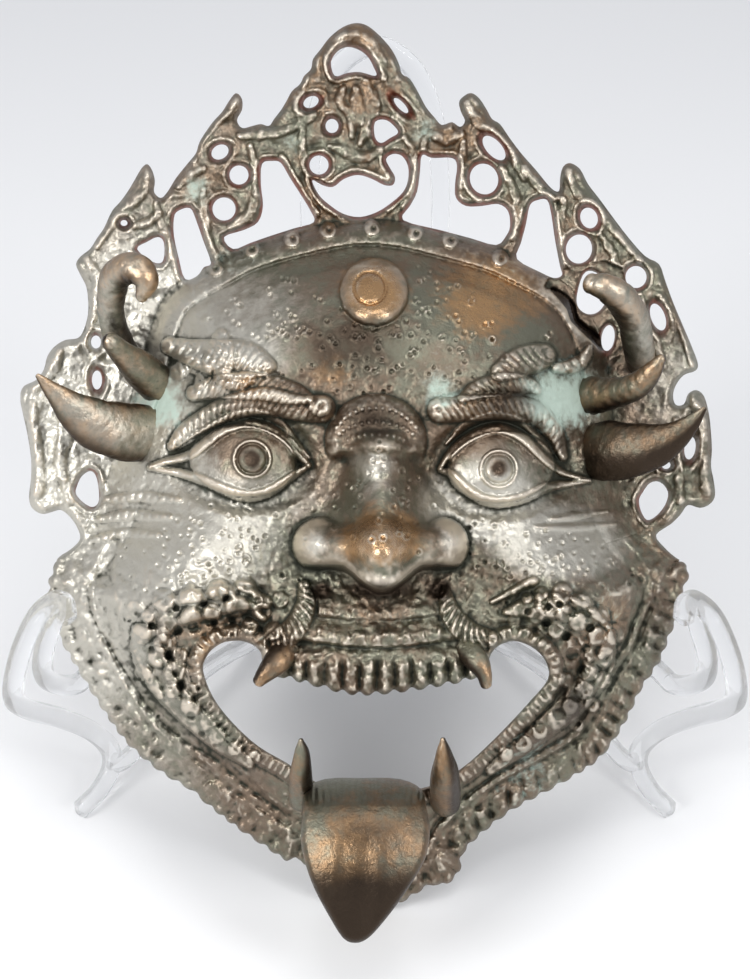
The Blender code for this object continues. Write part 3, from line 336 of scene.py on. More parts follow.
# The bars and leaf ribs of the crown and plates, places with a half width each
CROWN_RIDGES = [
    [(331, 78, 3), (327, 62, 4), (336, 44, 4.5), (352, 35, 4.5), (369, 42, 4.5), (381, 60, 4.5),
      (384, 78, 3)],
    [(306, 78, 3), (300, 92, 4), (297, 108, 4), (305, 120, 4), (315, 115, 3)],
    [(282, 156, 3), (291, 176, 4), (302, 196, 4), (316, 214, 3)],
    [(303, 128, 3), (302, 150, 4), (309, 178, 4), (322, 200, 4), (338, 213, 3)],
    [(425, 138, 3), (421, 160, 4), (415, 184, 4), (404, 207, 3)],
    [(405, 138, 3), (413, 152, 3.5), (412, 172, 4), (404, 192, 3.5), (388, 209, 3)],
    [(240, 136, 3), (262, 135, 4), (284, 131, 4), (299, 124, 3)],
    [(430, 134, 3), (446, 140, 5), (462, 134, 3)],
    [(322, 190, 3), (338, 180, 4), (360, 170, 5), (382, 179, 5), (394, 172, 3)],
    [(343, 88, 3), (340, 102, 4), (350, 116, 4), (352, 136, 3)],
    [(366, 84, 4), (373, 100, 6), (369, 122, 6), (360, 144, 3)],
    [(356, 90, 4), (357, 104, 6), (360, 122, 4)],
    [(330, 146, 3), (346, 152, 5), (364, 158, 5), (380, 150, 3)],
    [(193, 160, 3), (204, 136, 4), (222, 115, 5), (236, 100, 3)],
    [(203, 190, 3), (204, 216, 4), (210, 244, 4), (220, 264, 3)],
    [(250, 146, 3), (256, 170, 4), (257, 196, 5), (245, 217, 4), (230, 226, 3)],
    [(178, 186, 3), (190, 176, 4), (204, 168, 3)],
    [(467, 104, 3), (478, 122, 5), (496, 136, 4), (512, 156, 4), (524, 178, 3)],
    [(463, 142, 3), (462, 164, 4), (464, 186, 4), (480, 200, 3)],
    [(502, 168, 3), (512, 186, 4), (518, 210, 4), (512, 238, 3)],
    [(524, 168, 3), (540, 188, 4), (562, 200, 3)],
    [(568, 172, 3), (578, 194, 4), (596, 208, 4), (616, 232, 4), (640, 260, 3)],
    [(564, 200, 3), (560, 228, 4), (566, 262, 3)],
    [(600, 236, 3), (612, 252, 4), (620, 272, 3)],
    [(148, 174, 3), (143, 192, 4), (128, 208, 4), (110, 226, 4), (96, 246, 3)],
    [(156, 204, 3), (163, 228, 4), (170, 252, 4), (182, 282, 3)],
    [(136, 226, 3), (148, 222, 4), (158, 214, 3)],
    [(86, 258, 3), (98, 280, 5), (96, 304, 4), (90, 326, 3)],
    [(60, 352, 3), (52, 370, 5), (34, 390, 4), (33, 420, 4), (37, 452, 5), (38, 490, 6)],
    [(58, 400, 4), (66, 430, 6), (60, 462, 5), (70, 500, 4)],
    [(664, 270, 3), (676, 304, 4), (688, 344, 4), (692, 364, 3)],
    [(640, 296, 3), (652, 334, 5), (664, 366, 3)],
    [(690, 396, 4), (702, 420, 4), (704, 450, 4), (706, 490, 5)],
    [(676, 420, 3), (678, 452, 4), (680, 500, 4)],
    [(612, 262, 3), (624, 296, 4), (632, 322, 3)],
]
# The moustache's raised band on both sides, and the dark holes between its curls
MOUSTACHE = [
    [(266, 602, 7), (240, 598, 13), (208, 603, 16), (176, 611, 18), (152, 630, 18), (149, 656, 17),
      (163, 684, 15), (188, 712, 13), (220, 742, 10), (250, 764, 5)],
    [(506, 612, 4), (528, 607, 11), (554, 608, 16), (584, 622, 18), (600, 648, 17), (594, 676, 15),
      (576, 700, 14), (550, 724, 12), (520, 748, 9), (490, 770, 5)],
]
CHEEK_GROOVES = [
    [(116, 540, 5), (107, 560, 8), (104, 585, 11), (108, 615, 11), (128, 665, 11), (158, 712, 11),
      (200, 752, 11), (245, 788, 11), (288, 822, 4)],
    [(622, 545, 5), (634, 562, 8), (640, 585, 11), (640, 625, 11), (625, 668, 11), (598, 712, 11),
      (560, 748, 11), (515, 782, 11), (478, 808, 4)],
]
BREAK_LINE = [
    (552, 289, 2), (562, 297, 4), (571, 307, 5), (574, 319, 4), (584, 329, 4), (594, 337, 5), (602, 348, 3),
]
HOLES_BETWEEN_CURLS = [
    (178, 630, 5), (193, 627, 6), (169, 655, 5), (181, 686, 5), (191, 716, 5), (214, 622, 4), (152, 626, 4),
    (152, 650, 4), (202, 734, 4), (232, 620, 4), (226, 598, 4), (176, 608, 4), (204, 604, 4), (258, 600, 4),
    (572, 654, 7), (583, 672, 7), (576, 696, 7), (559, 714, 7), (540, 728, 6), (521, 742, 6), (560, 604, 4),
    (548, 606, 4), (572, 612, 5), (590, 628, 5), (566, 636, 5), (546, 622, 5), (528, 612, 4), (586, 648, 5),
]

# Horns, ears and fangs: places across the drawing with a height and a radius, then flatness, ring pitch and
# tone: over 0 paler above as a painted highlight, under 0 darker all over
PRONGS = {
    "left_horn": ([(126, 356, 4.4, 14), (113, 324, 22, 13), (111, 298, 31, 13.5), (116, 277, 37, 14.5),
        (129, 268, 42, 15), (141, 272, 45, 14), (146, 284, 45, 11), (142, 296, 43, 6)], 1.0, 13, 1.0),
    "right_horn": ([(641, 366, 4.4, 14), (638, 342, 20, 15.5), (633, 319, 29, 15.5), (622, 300, 36, 15),
        (607, 288, 39, 13.5), (592, 284, 38, 10)], 1.0, 13, 1.0),
    "left_stub": ([(160, 386, 12, 20), (138, 367, 20, 17), (122, 353, 26, 12), (112, 343, 30, 9)], 1.0, 0,
        0.7),
    "right_stub": ([(586, 396, 13, 20), (614, 393, 21, 15), (638, 385, 28, 13), (653, 370, 32, 9),
        (661, 359, 34, 5)], 1.0, 9, 0.4),
    "left_ear": ([(150, 434, 14, 27), (120, 431, 20, 28), (96, 424, 24, 25), (74, 410, 28, 18),
        (53, 391, 31, 9), (38, 376, 33, 2.5)], 0.55, 0, 1.0),
    "right_ear": ([(588, 450, 14, 26), (612, 451, 20, 29), (640, 449, 25, 25), (668, 440, 29, 17),
        (690, 424, 32, 9), (704, 409, 34, 2.5)], 0.55, 0, -1.1),
    "left_upper_fang": ([(288, 650, 42, 14), (276, 662, 46, 12), (265, 674, 47, 8.5), (259, 681, 47, 6)],
        1.0, 0, -0.6),
    "right_upper_fang": ([(466, 648, 42, 13), (477, 661, 46, 11), (484, 674, 47, 7.5), (486, 684, 47, 5.5)],
        1.0, 0, -0.6),
    "left_lower_fang": ([(301, 800, 27, 12), (301, 772, 41, 10), (302, 752, 45, 7), (301, 741, 47, 2.5)],
        1.0, 0, -0.6),
    "right_lower_fang": ([(445, 802, 22, 15), (445, 774, 39, 13), (444, 753, 44, 7.5), (443, 740, 46, 2.5)],
        1.0, 0, -0.6),
}
TONGUE = [
    (305, 790), (302, 815), (301, 842), (306, 866), (315, 890), (329, 916), (343, 938), (355, 943),
    (367, 939), (380, 926), (398, 903), (418, 873), (427, 853), (430, 830), (427, 810), (422, 790),
    (400, 779), (360, 778), (325, 779),
]
TONGUE_PROFILE = [(765, 28), (779, 35), (792, 41), (812, 46.5), (845, 50), (885, 51), (950, 48)]

# Soft spots of tint, and of pitted and smooth skin: amount, centre, half width, half height and turn
COPPER_SPOTS = [
    (0.8, 499, 469, 16, 16), (0.5, 240, 380, 80, 40), (1.8, 374, 292, 48, 48), (1.1, 480, 305, 95, 66),
    (1, 382, 535, 56, 60), (0.6, 382, 545, 110, 36), (0.6, 335, 370, 40, 30), (0.35, 150, 560, 50, 60),
    (0.5, 600, 612, 60, 60), (0.5, 500, 400, 80, 40), (0.4, 200, 640, 80, 70), (0.35, 120, 500, 90, 30),
    (0.4, 640, 545, 50, 50), (0.3, 375, 620, 90, 40),
]
GREEN_SPOTS = [
    (1.7, 562, 396, 70, 54), (1.5, 162, 404, 48, 44), (0.5, 442, 392, 30, 26), (0.55, 540, 775, 90, 70),
    (0.8, 293, 140, 26, 26), (0.8, 425, 130, 26, 30), (0.8, 198, 190, 24, 36), (0.6, 240, 262, 60, 30),
    (0.45, 600, 600, 60, 60), (0.5, 440, 395, 40, 40), (0.35, 430, 350, 60, 60),
]
# Pale spots: paler patina, painted highlights on the nose's ridge and wings and on the cheeks, and painted
# sheen over the left side
PALE_AND_SHEEN_SPOTS = [
    (0.6, 500, 515, 90, 42), (0.4, 378, 480, 34, 40), (0.9, 50, 440, 100, 140), (0.8, 130, 420, 90, 90),
    (0.9, 215, 362, 100, 45), (0.6, 140, 300, 90, 90), (0.5, 680, 380, 90, 140), (0.9, 180, 550, 130, 80),
    (0.3, 300, 500, 100, 60), (-0.5, 243, 461, 60, 40), (0.5, 505, 465, 70, 45), (1.1, 560, 545, 110, 60),
    (1.1, 470, 500, 90, 50), (0.6, 372, 462, 34, 22), (0.9, 312, 545, 24, 20), (0.7, 452, 545, 24, 20),
    (0.6, 500, 510, 60, 40), (0.5, 200, 480, 120, 60), (0.5, 90, 640, 80, 120), (0.4, 240, 310, 120, 60),
]
# Dark spots: dark patina, the pupils and the nose's middle, and painted shade under the nose and its wings,
# in the valley below the rim band and over the right side, away from the window light
DARK_AND_SHADE_SPOTS = [
    (0.6, 385, 545, 22, 18), (0.5, 505, 395, 70, 40), (0.6, 620, 482, 40, 22), (0.6, 560, 445, 26, 24),
    (0.9, 380, 590, 90, 20), (0.5, 575, 690, 40, 60), (0.6, 655, 630, 50, 110), (0.8, 376, 422, 60, 36),
    (1.3, 252, 459, 17, 17), (1.1, 499, 469, 17, 17), (0.9, 320, 592, 20, 26), (0.9, 442, 590, 20, 26),
    (0.5, 350, 350, 130, 80), (0.35, 500, 410, 100, 40), (0.4, 376, 650, 130, 50),
    (0.4, 300, 262, 120, 14, -12), (0.5, 560, 740, 110, 80), (0.3, 360, 340, 130, 70),
]
RED_SPOTS = [(0.7, 245, 500, 60, 14, -10), (0.5, 252, 595, 22, 16)]
PITTED_SKIN = [
    (0.8, 400, 330, 200, 95), (0.5, 250, 320, 100, 60), (0.8, 190, 560, 90, 50), (0.7, 575, 560, 80, 45),
    (0.6, 382, 500, 70, 70), (0.4, 250, 540, 90, 60), (0.35, 500, 550, 80, 60), (0.3, 170, 710, 120, 120),
    (0.3, 600, 700, 120, 120), (-2, 374, 292, 48, 48),
]
SMOOTH_SKIN = [
    (2, 375, 318, 240, 95), (1.6, 195, 550, 105, 62), (1.8, 382, 530, 90, 90), (1.6, 565, 552, 100, 56),
    (2, 243, 461, 60, 38), (2, 501, 467, 60, 38),
]
CURLY_PARTS = [(1, 190, 645, 75, 95), (1, 565, 650, 75, 95)]

# The drawing's fine grid, one drawing unit apart
GRID_Y, GRID_X = np.mgrid[DRAWN_BOX[1]:DRAWN_BOX[3], DRAWN_BOX[0]:DRAWN_BOX[2]]


def eased(share):
    """A share from 0 to 1 with no corner at either end: 3s² - 2s³."""
    share = np.clip(share, 0, 1)
    return share * share * (3 - 2 * share)


def domed(ratio):
    """Height of a round form at a share of its radius: √(1 - r²)."""
    return np.sqrt(np.clip(1 - ratio * ratio, 0, 1))


def swelling(ratio):
    """Height of a soft swelling at a share of its radius: (1 - r²)²."""
    return np.clip(1 - ratio * ratio, 0, 1) ** 2


def rippled(run, pitch, power):
    """A row of cuts a pitch apart along a run: |cos|, narrowed by a power."""
    return np.abs(np.cos(math.pi * run / pitch)) ** power


def scalloped(run, pitch, power):
    """A row of rounded forms a pitch apart along a run: |sin|, sharpened or filled by a power."""
    return np.abs(np.sin(math.pi * run / pitch)) ** power


def band(inside, middle, half_width, rise):
    """A rounded ridge or groove along an edge, its middle a set distance inside it."""
    return rise * domed((inside - middle) / half_width)


def banded(inside, bands):
    """The sum of several ridges and grooves along an edge or around a middle."""
    return sum(band(inside, *one) for one in bands)


def smooth_curve(points, closed, parts=4):
    """Points on a Catmull-Rom curve through the given ones, each span cut into equal parts."""
    points = np.array(points, float)
    if closed:
        before, after, last = np.roll(points, 1, 0), np.roll(points, -1, 0), np.roll(points, -2, 0)
    else:
        ends = np.vstack([2 * points[:1] - points[1:2], points, 2 * points[-1:] - points[-2:-1]])
        before, points, after, last = ends[:-3], ends[1:-2], ends[2:-1], ends[3:]
    share = (np.arange(parts) / parts)[:, None, None]
    curve = 0.5 * (2 * points + (after - before) * share
                   + (2 * before - 5 * points + 4 * after - last) * share**2
                   + (3 * points - before - 3 * after + last) * share**3)
    curve = curve.transpose(1, 0, 2).reshape(-1, points.shape[1])
    return curve if closed else np.vstack([curve, after[-1:]])


def along_path(x, y, path):
    """Distance over half width, run along the path and signed offset from it, at each place."""
    ratio = np.full(x.shape, np.inf)
    run, offset = np.zeros(x.shape), np.zeros(x.shape)
    passed = 0.0
    for start, end in zip(path[:-1], path[1:]):
        across, down = end[0] - start[0], end[1] - start[1]
        length = math.hypot(across, down) + 1e-9
        along = np.clip(((x - start[0]) * across + (y - start[1]) * down) / length**2, 0, 1)
        right, low = x - start[0] - along * across, y - start[1] - along * down
        width = start[2] + along * (end[2] - start[2]) if len(start) > 2 else 1.0
        here = np.hypot(right, low) / width
        closer = here < ratio
        ratio = np.where(closer, here, ratio)
        run = np.where(closer, passed + along * length, run)
        offset = np.where(closer, (right * down - low * across) / length, offset)
        passed += length
    return ratio, run, offset


def window(points, reach):
    """The part of the fine grid within reach of the points, as a pair of slices."""
    points = np.asarray(points, float)
    low = np.floor(points[:, :2].min(0) - reach - DRAWN_BOX[:2]).astype(int)
    high = np.ceil(points[:, :2].max(0) + reach - DRAWN_BOX[:2]).astype(int) + 1
    return (slice(max(low[1], 0), max(high[1], 0)), slice(max(low[0], 0), max(high[0], 0)))


def near_distance(ring, reach):
    """Distance from each grid place to a closed ring, up to reach."""
    distance = np.full(GRID_X.shape, float(reach))
    for start, end in zip(ring, np.roll(ring, -1, 0)):
        part = window([start, end], reach)
        ratio = along_path(GRID_X[part], GRID_Y[part], [start, end])[0]
        distance[part] = np.minimum(distance[part], ratio)
    return distance


def within_ring(x, y, ring):
    """Whether each place is inside a closed ring, by counting the sides that a level line crosses."""
    within = np.zeros(x.shape, bool)
    for (x1, y1), (x2, y2) in zip(ring, np.roll(ring, -1, 0)):
        if y1 != y2:
            within ^= ((y1 > y) != (y2 > y)) & (x < (x2 - x1) * (y - y1) / (y2 - y1) + x1)
    return within


def edge_depth(outline, reach=EDGE_REACH):
    """Signed distance to a closed outline near it: positive inside, at most reach."""
    ring = smooth_curve(outline, True, 3)
    part = window(ring, reach)
    depth = np.full(GRID_X.shape, -float(reach))
    inside = within_ring(GRID_X[part], GRID_Y[part], ring)
    depth[part] = np.where(inside, 1, -1) * near_distance(ring, reach)[part]
    return depth


def far_depth(outline, coarse=4):
    """Signed distance to a closed outline all over the drawing, worked out on a coarser grid."""
    ring = smooth_curve(outline, True, 3)
    x, y = GRID_X[::coarse, ::coarse], GRID_Y[::coarse, ::coarse]
    distance = along_path(x, y, np.vstack([ring, ring[:1]]))[0]
    depth = np.where(within_ring(x, y, ring), distance, -distance)
    return sampled(depth, GRID_X, GRID_Y, coarse)


def sampled(raster, x, y, step=1.0):
    """The raster's value at each place, blended between its nearest four."""
    across = np.clip((x - DRAWN_BOX[0]) / step, 0, raster.shape[1] - 1.001)
    down = np.clip((y - DRAWN_BOX[1]) / step, 0, raster.shape[0] - 1.001)
    i, j = down.astype(int), across.astype(int)
    low, right = down - i, across - j
    return ((raster[i, j] * (1 - right) + raster[i, j + 1] * right) * (1 - low)
            + (raster[i + 1, j] * (1 - right) + raster[i + 1, j + 1] * right) * low)


def ellipse_ratio(x, y, across, down, half_width, half_height, turn=0.0):
    """Distance from an ellipse's centre as a share of its radius that way."""
    c, s = math.cos(math.radians(turn)), math.sin(math.radians(turn))
    right, low = x - across, y - down
    return np.hypot((right * c + low * s) / half_width, (low * c - right * s) / half_height)


def spot(x, y, across, down, half_width, half_height, turn=0.0):
    """A soft spot over an ellipse: 1 in its middle, none from its edge outwards."""
    return swelling(ellipse_ratio(x, y, across, down, half_width, half_height, turn))


def spotted(x, y, spots):
    """The sum of soft spots, each by its own amount."""
    return sum(amount * spot(x, y, *form) for amount, *form in spots)


def softened(values, rounds):
    """The values with small forms evened out, each round a blend with the neighbours."""
    for _ in range(rounds):
        for axis in (0, 1):
            values = 0.5 * values + 0.25 * (np.roll(values, 1, axis) + np.roll(values, -1, axis))
    return values


def blurred(values, reach):
    """The values evened out over a square of a given reach, three times over, by running sums."""
    for _ in range(3):
        for axis in (0, 1):
            padded = np.pad(values, [(reach + 1, reach) if a == axis else (0, 0) for a in (0, 1)], "edge")
            total = np.cumsum(padded, axis)
            size = values.shape[axis]
            upper = np.take(total, np.arange(2 * reach + 1, 2 * reach + 1 + size), axis)
            values = (upper - np.take(total, np.arange(size), axis)) / (2 * reach + 1)
    return values


def cast_noise(seed, size):
    """Smooth uneven values from -1 to 1 with lumps of a given size, blended from a seeded grid."""
    source = np.random.default_rng(seed)
    rows, columns = (int(side / size) + 4 for side in GRID_X.shape)
    lumps = source.uniform(-1, 1, (rows, columns))
    x, y = (GRID_X - DRAWN_BOX[0]) / size, (GRID_Y - DRAWN_BOX[1]) / size
    i, j = y.astype(int), x.astype(int)
    low, right = eased(y - i), eased(x - j)
    return ((lumps[i, j] * (1 - right) + lumps[i, j + 1] * right) * (1 - low)
            + (lumps[i + 1, j] * (1 - right) + lumps[i + 1, j + 1] * right) * low)


def add_stroke(height, places, rise, pitch=0.0, hatch=0.0, slant=0.0, form=domed):
    """Adds a raised stroke: a round back over its half width, with slanting cuts a pitch apart."""
    path = smooth_curve(places, False, 4)
    part = window(path, path[:, 2].max() + 2)
    ratio, run, offset = along_path(GRID_X[part], GRID_Y[part], path)
    raised = rise * form(ratio)
    if pitch:
        raised = raised - hatch * rippled(run - slant * offset, pitch, 6) * eased((0.95 - ratio) / 0.3)
    height[part] += raised


def add_knob(height, across, down, radius, rise, dimple=0.0):
    """Adds a round knob, with a small round dimple beside its middle."""
    part = window([(across, down)], radius + 1)
    ratio = np.hypot(GRID_X[part] - across, GRID_Y[part] - down) / radius
    raised = rise * domed(ratio) - dimple * swelling(np.hypot(
        GRID_X[part] - across - 0.15 * radius, GRID_Y[part] - down - 0.1 * radius) / (0.55 * radius))
    height[part] += raised


def nose_form(x, y):
    """The nose over the face: a ridge that widens down to the bulb and wings, cut off underneath.

    The forms run into each other with a soft fillet, as the root of a sum of high powers.
    """
    rows, heights = np.array(NOSE_HEIGHTS, float).T
    power = 5
    total = (np.interp(y, rows, heights) * swelling(along_path(x, y, NOSE_RIDGE)[0])) ** power
    for across, down, half_width, half_height, rise in NOSE_LUMPS:
        total = total + (rise * domed(ellipse_ratio(x, y, across, down, half_width, half_height))) ** power
    tip, _, tip_width, _, _ = NOSE_LUMPS[0]
    foot = NOSE_FOOT + NOSE_SAG * swelling((x - tip) / (1.2 * tip_width))
    return total ** (1 / power) * (1 - eased((y - foot) / 9))


def broad_height(x, y, inside):
    """The face's main form: plates and crown, forehead, cheeks, jaw, muzzle and nose."""
    chin = 5 * eased((y - 770) / 120)
    forehead = FACE_RISE * np.sin(math.pi / 2 * np.clip(inside / 140, 0, 1))
    within = np.sin(math.pi / 2 * np.clip((inside - 40) / 100, 0, 1))
    jaw = JAW_FLANGE * eased(inside / 42) + (FACE_RISE - JAW_FLANGE) * within
    height = PLATE + chin + forehead + (jaw - forehead) * eased((y - 455) / 90)
    for *form, rise in SWELLINGS:
        height = height + rise * swelling(ellipse_ratio(x, y, *form))
    for *form, rise in ROUNDS:
        height = height + rise * domed(ellipse_ratio(x, y, *form))
    return height + nose_form(x, y)


def scattered(seed, spacing, chance):
    """Places spread over the drawing about a spacing apart, in uneven rows, where a chance allows."""
    source = np.random.default_rng(seed)
    rows, columns = np.mgrid[DRAWN_BOX[1]:DRAWN_BOX[3]:spacing, DRAWN_BOX[0]:DRAWN_BOX[2]:spacing]
    moved = source.uniform(-0.42, 0.42, (rows.size, 2)) * spacing
    places = np.stack([columns.ravel(), rows.ravel()], 1) + moved
    return places[source.uniform(0, 1, rows.size) < sampled(chance, *places.T)]


def add_punched_ring(height, across, down, radius):
    """Adds a small punched ring: a hollow with a thin raised lip."""
    part = window([(across, down)], 2 * radius)
    ratio = np.hypot(GRID_X[part] - across, GRID_Y[part] - down) / radius
    height[part] += 0.32 * domed((ratio - 1.35) / 0.65) - 0.55 * domed(ratio)


def beard_edge():
    """The part of the grid along the beard's edge, and the run along that edge."""
    beard = smooth_curve(BEARD_RIGHT + BEARD_LEFT, False, 2)
    part = window(beard, 4)
    return part, along_path(GRID_X[part], GRID_Y[part], beard)[1]


def tooth_run():
    """The run along the row of teeth from its middle, uneven as cast."""
    return GRID_X - MOUTH_MIDDLE + 1.5 * cast_noise(14, 20)


def add_rim(height, inside):
    """Adds the band along the forehead's rim, with its groove and its beads."""
    x, y = GRID_X, GRID_Y
    upper = (1 - eased((y - 400) / 60)) * eased(inside / 14)
    height += upper * banded(inside, RIM_BANDS)
    brow_span = eased((x - 196) / 50) * (1 - eased((x - 500) / 50))
    height += upper * band(inside, *RIM_GROOVE) * brow_span
    for across, down in RIM_BEADS:
        add_knob(height, across, down, 8.5, 2.2, 2.2)


def add_beard(height, inside):
    """Adds the beard's scalloped flange: rounded locks across its edge, lines and a ridge along it."""
    part, run = beard_edge()
    x, y, within = GRID_X[part], GRID_Y[part], inside[part]
    wave = run + 9 * cast_noise(11, 40)[part] + 0.3 * within
    right = eased((x - 300) / 200)
    strength = 0.6 + 0.9 * cast_noise(12, 60)[part] + 1.2 * right
    locks = strength * (scalloped(wave, LOCK_PITCH, 0.6) - 0.45) * domed((within - 9) / 14)
    locks += 1.1 * cast_noise(13, 9)[part] * domed((within - 17) / 15) + 0.5 * cast_noise(18, 5)[part]
    lined = (0.35 + 0.4 * right) * banded(within, BEARD_LINES) * eased((y - 560) / 60)
    height[part] += eased((y - 540) / 40) * (locks + lined)


def add_eyes(height):
    """Adds the ringed third eye, the dotted crescent between the brows, and the eyes' rings and pupils."""
    x, y = GRID_X, GRID_Y
    height += 5.0 * np.minimum(1, 1.25 * domed(ellipse_ratio(x, y, *THIRD_EYE, 35, 34))) ** 0.8
    height += banded(np.hypot(x - THIRD_EYE[0] + 4, y - THIRD_EYE[1] + 4), THIRD_EYE_RINGS)
    crescent = np.minimum(1, 1.6 * domed(ellipse_ratio(x, y, *CRESCENT, 51, 47)))
    crescent *= 1 - eased((1 - ellipse_ratio(x, y, 379, 484, 68, 43)) / 0.4)
    height += 4.6 * crescent * (1 - eased((y - 450) / 14))
    for half_width, rise, count in CRESCENT_ROWS:
        for turn in np.linspace(-1.05, 1.05, count):
            across, down = CRESCENT[0] + half_width * math.sin(turn), 446 - rise * math.cos(turn)
            add_knob(height, across, down, *CRESCENT_DOT)
    for across, down, turn, pupil_x, pupil_y in EYES:
        height += banded(np.hypot(x - pupil_x, y - pupil_y), EYE_RINGS)
        height += -1.6 * swelling((ellipse_ratio(x, y, across, down, 64, 44, turn) - 1.05) / 0.25)


def add_strokes(height):
    """Adds every carved stroke, and the curls with the holes drilled between them."""
    strokes = [(places, 3.2) for places in MOUSTACHE] + [(places, 1.9) for places in CURL_RIDGES]
    strokes += [(places, -1.0) for places in CHEEK_GROOVES] + LIDS + BROWS + CHEEK_ROLLS + WHISKERS
    for places, *stroke in strokes:
        add_stroke(height, places, *stroke)
    add_knob(height, 320, 405, 12, 2.2, 1.4)
    for number, (across, down, radius) in enumerate(CURLS):
        add_knob(height, across, down, radius, 1.5 + 0.45 * (number % 4), 0.8)
    for across, down, radius in HOLES_BETWEEN_CURLS:
        add_knob(height, across, down, radius, -1.7)
    height += 0.7 * np.minimum(1, 2 * spotted(GRID_X, GRID_Y, CURLY_PARTS)) * cast_noise(20, 7)


def add_mouth(height):
    """Adds the upper lip's bands, each lapping over the next, the ribbed teeth and the milled rim."""
    x, y = GRID_X, GRID_Y
    aside = np.abs(x - MOUTH_MIDDLE)
    gum = (aside < MUZZLE_HALF) * eased((y - 588) / 8) * (y < TEETH_TO)
    sag = 7 * np.clip(np.abs(x - 376) / 70, 0, 1) ** 2
    height += gum * 1.2 * eased((y - 590) / 24) * (1 - eased((y - 618 + sag) / 4)) * (np.abs(x - 382) < 64)
    lip_band = gum * 2.6 * eased((y - 616) / 22) * (1 - eased((y - 645 + sag) / 4))
    height += lip_band * domed((x - 374) / 84) ** 0.5
    height += gum * 2.2 * eased((y - 644) / 12)
    height += gum * 3.0 * (scalloped(tooth_run(), TOOTH_PITCH, 0.7) - 0.6) * eased((y - 656) / 12)
    drops = scalloped(x - 371, 15, 10) * np.exp(-((y - 637 + sag) / 4.5) ** 2)
    nicks = scalloped(x - 366, 12, 12) * np.exp(-((y - 664) / 5) ** 2)
    height += gum * (aside < 80) * (0.7 * drops + 0.6 * nicks)
    edge = smooth_curve(MOUTH + MOUTH[:1], False, 2)
    part = window(edge, 22)
    run, lip = along_path(x[part], y[part], edge)[1], -edge_depth(MOUTH)[part]
    milled = band(lip, *MOUTH_ROLL)
    milled -= 0.9 * rippled(run, MILLING_PITCH, 3) * domed((lip - 9) / 6)
    milled += band(lip, *MOUTH_GROOVE)
    height[part] += (1 - (gum[part] > 0)) * milled


def with_open_work(height, depth, opening, inside):
    """The height with the plates and the crown: rounded bars with ribs, rims and folds, and the break."""
    outside = 1 - eased((inside + 2) / 8)
    rounding = 1.7 * np.sin(math.pi / 2 * np.clip(depth / 7, 0, 1)) - 1.2
    rims = 0.45 * domed((opening - 4) / 4) * (1 + 1.2 * cast_noise(19, 24))
    rims = rims - 0.25 * domed((opening - 9.5) / 2.5)
    lumps = 1 - 2 * np.abs(cast_noise(3, 19))
    folds = 0.6 * lumps + 0.35 * cast_noise(4, 11) + 0.15 * cast_noise(15, 5)
    height += outside * (rounding + rims + folds * eased(depth / 5))
    ribs = np.zeros(height.shape)
    for ridge in CROWN_RIDGES:
        broad = [(across, down, 1.35 * half) for across, down, half in ridge]
        add_stroke(ribs, broad, 1.3, form=lambda ratio: domed(ratio) ** 1.2)
    height += outside * np.minimum(ribs, 1.7)
    height = np.where(edge_depth(BROKEN_SHELL) > 0, np.minimum(height, PLATE - 0.5 + folds), height)
    add_stroke(height, BREAK_LINE, -2.2)
    return height


def carved_relief(depth, opening, inside, smooth, pits):
    """The front surface: the main form with all its carving, as heights on the fine grid."""
    height = broad_height(GRID_X, GRID_Y, inside)
    add_rim(height, inside)
    add_beard(height, inside)
    add_eyes(height)
    add_strokes(height)
    add_mouth(height)
    height = with_open_work(height, depth, opening, inside)
    rough = np.clip(1.2 - smooth, 0, 1)
    height += 0.24 * rough * cast_noise(5, 2.6) + 0.2 * rough * cast_noise(16, 6) + 0.2 * cast_noise(6, 14)
    height += 0.06 * cast_noise(17, 2.2)
    for number, (across, down) in enumerate(pits):
        add_punched_ring(height, across, down, 1.9 + 0.25 * (number % 4))
    return height


def rolled_off(front, wall, reach):
    """The back surface: the front moved in by the wall's thickness, square to the surface all over."""
    back = np.full(front.shape, np.inf)
    cells = int(reach)
    for right in range(-cells, cells + 1):
        for low in range(-cells, cells + 1):
            share = (right**2 + low**2) / reach**2
            if share <= 1:
                moved = np.roll(np.roll(front, right, 1), low, 0)
                back = np.minimum(back, moved - wall * math.sqrt(1 - share))
    return back


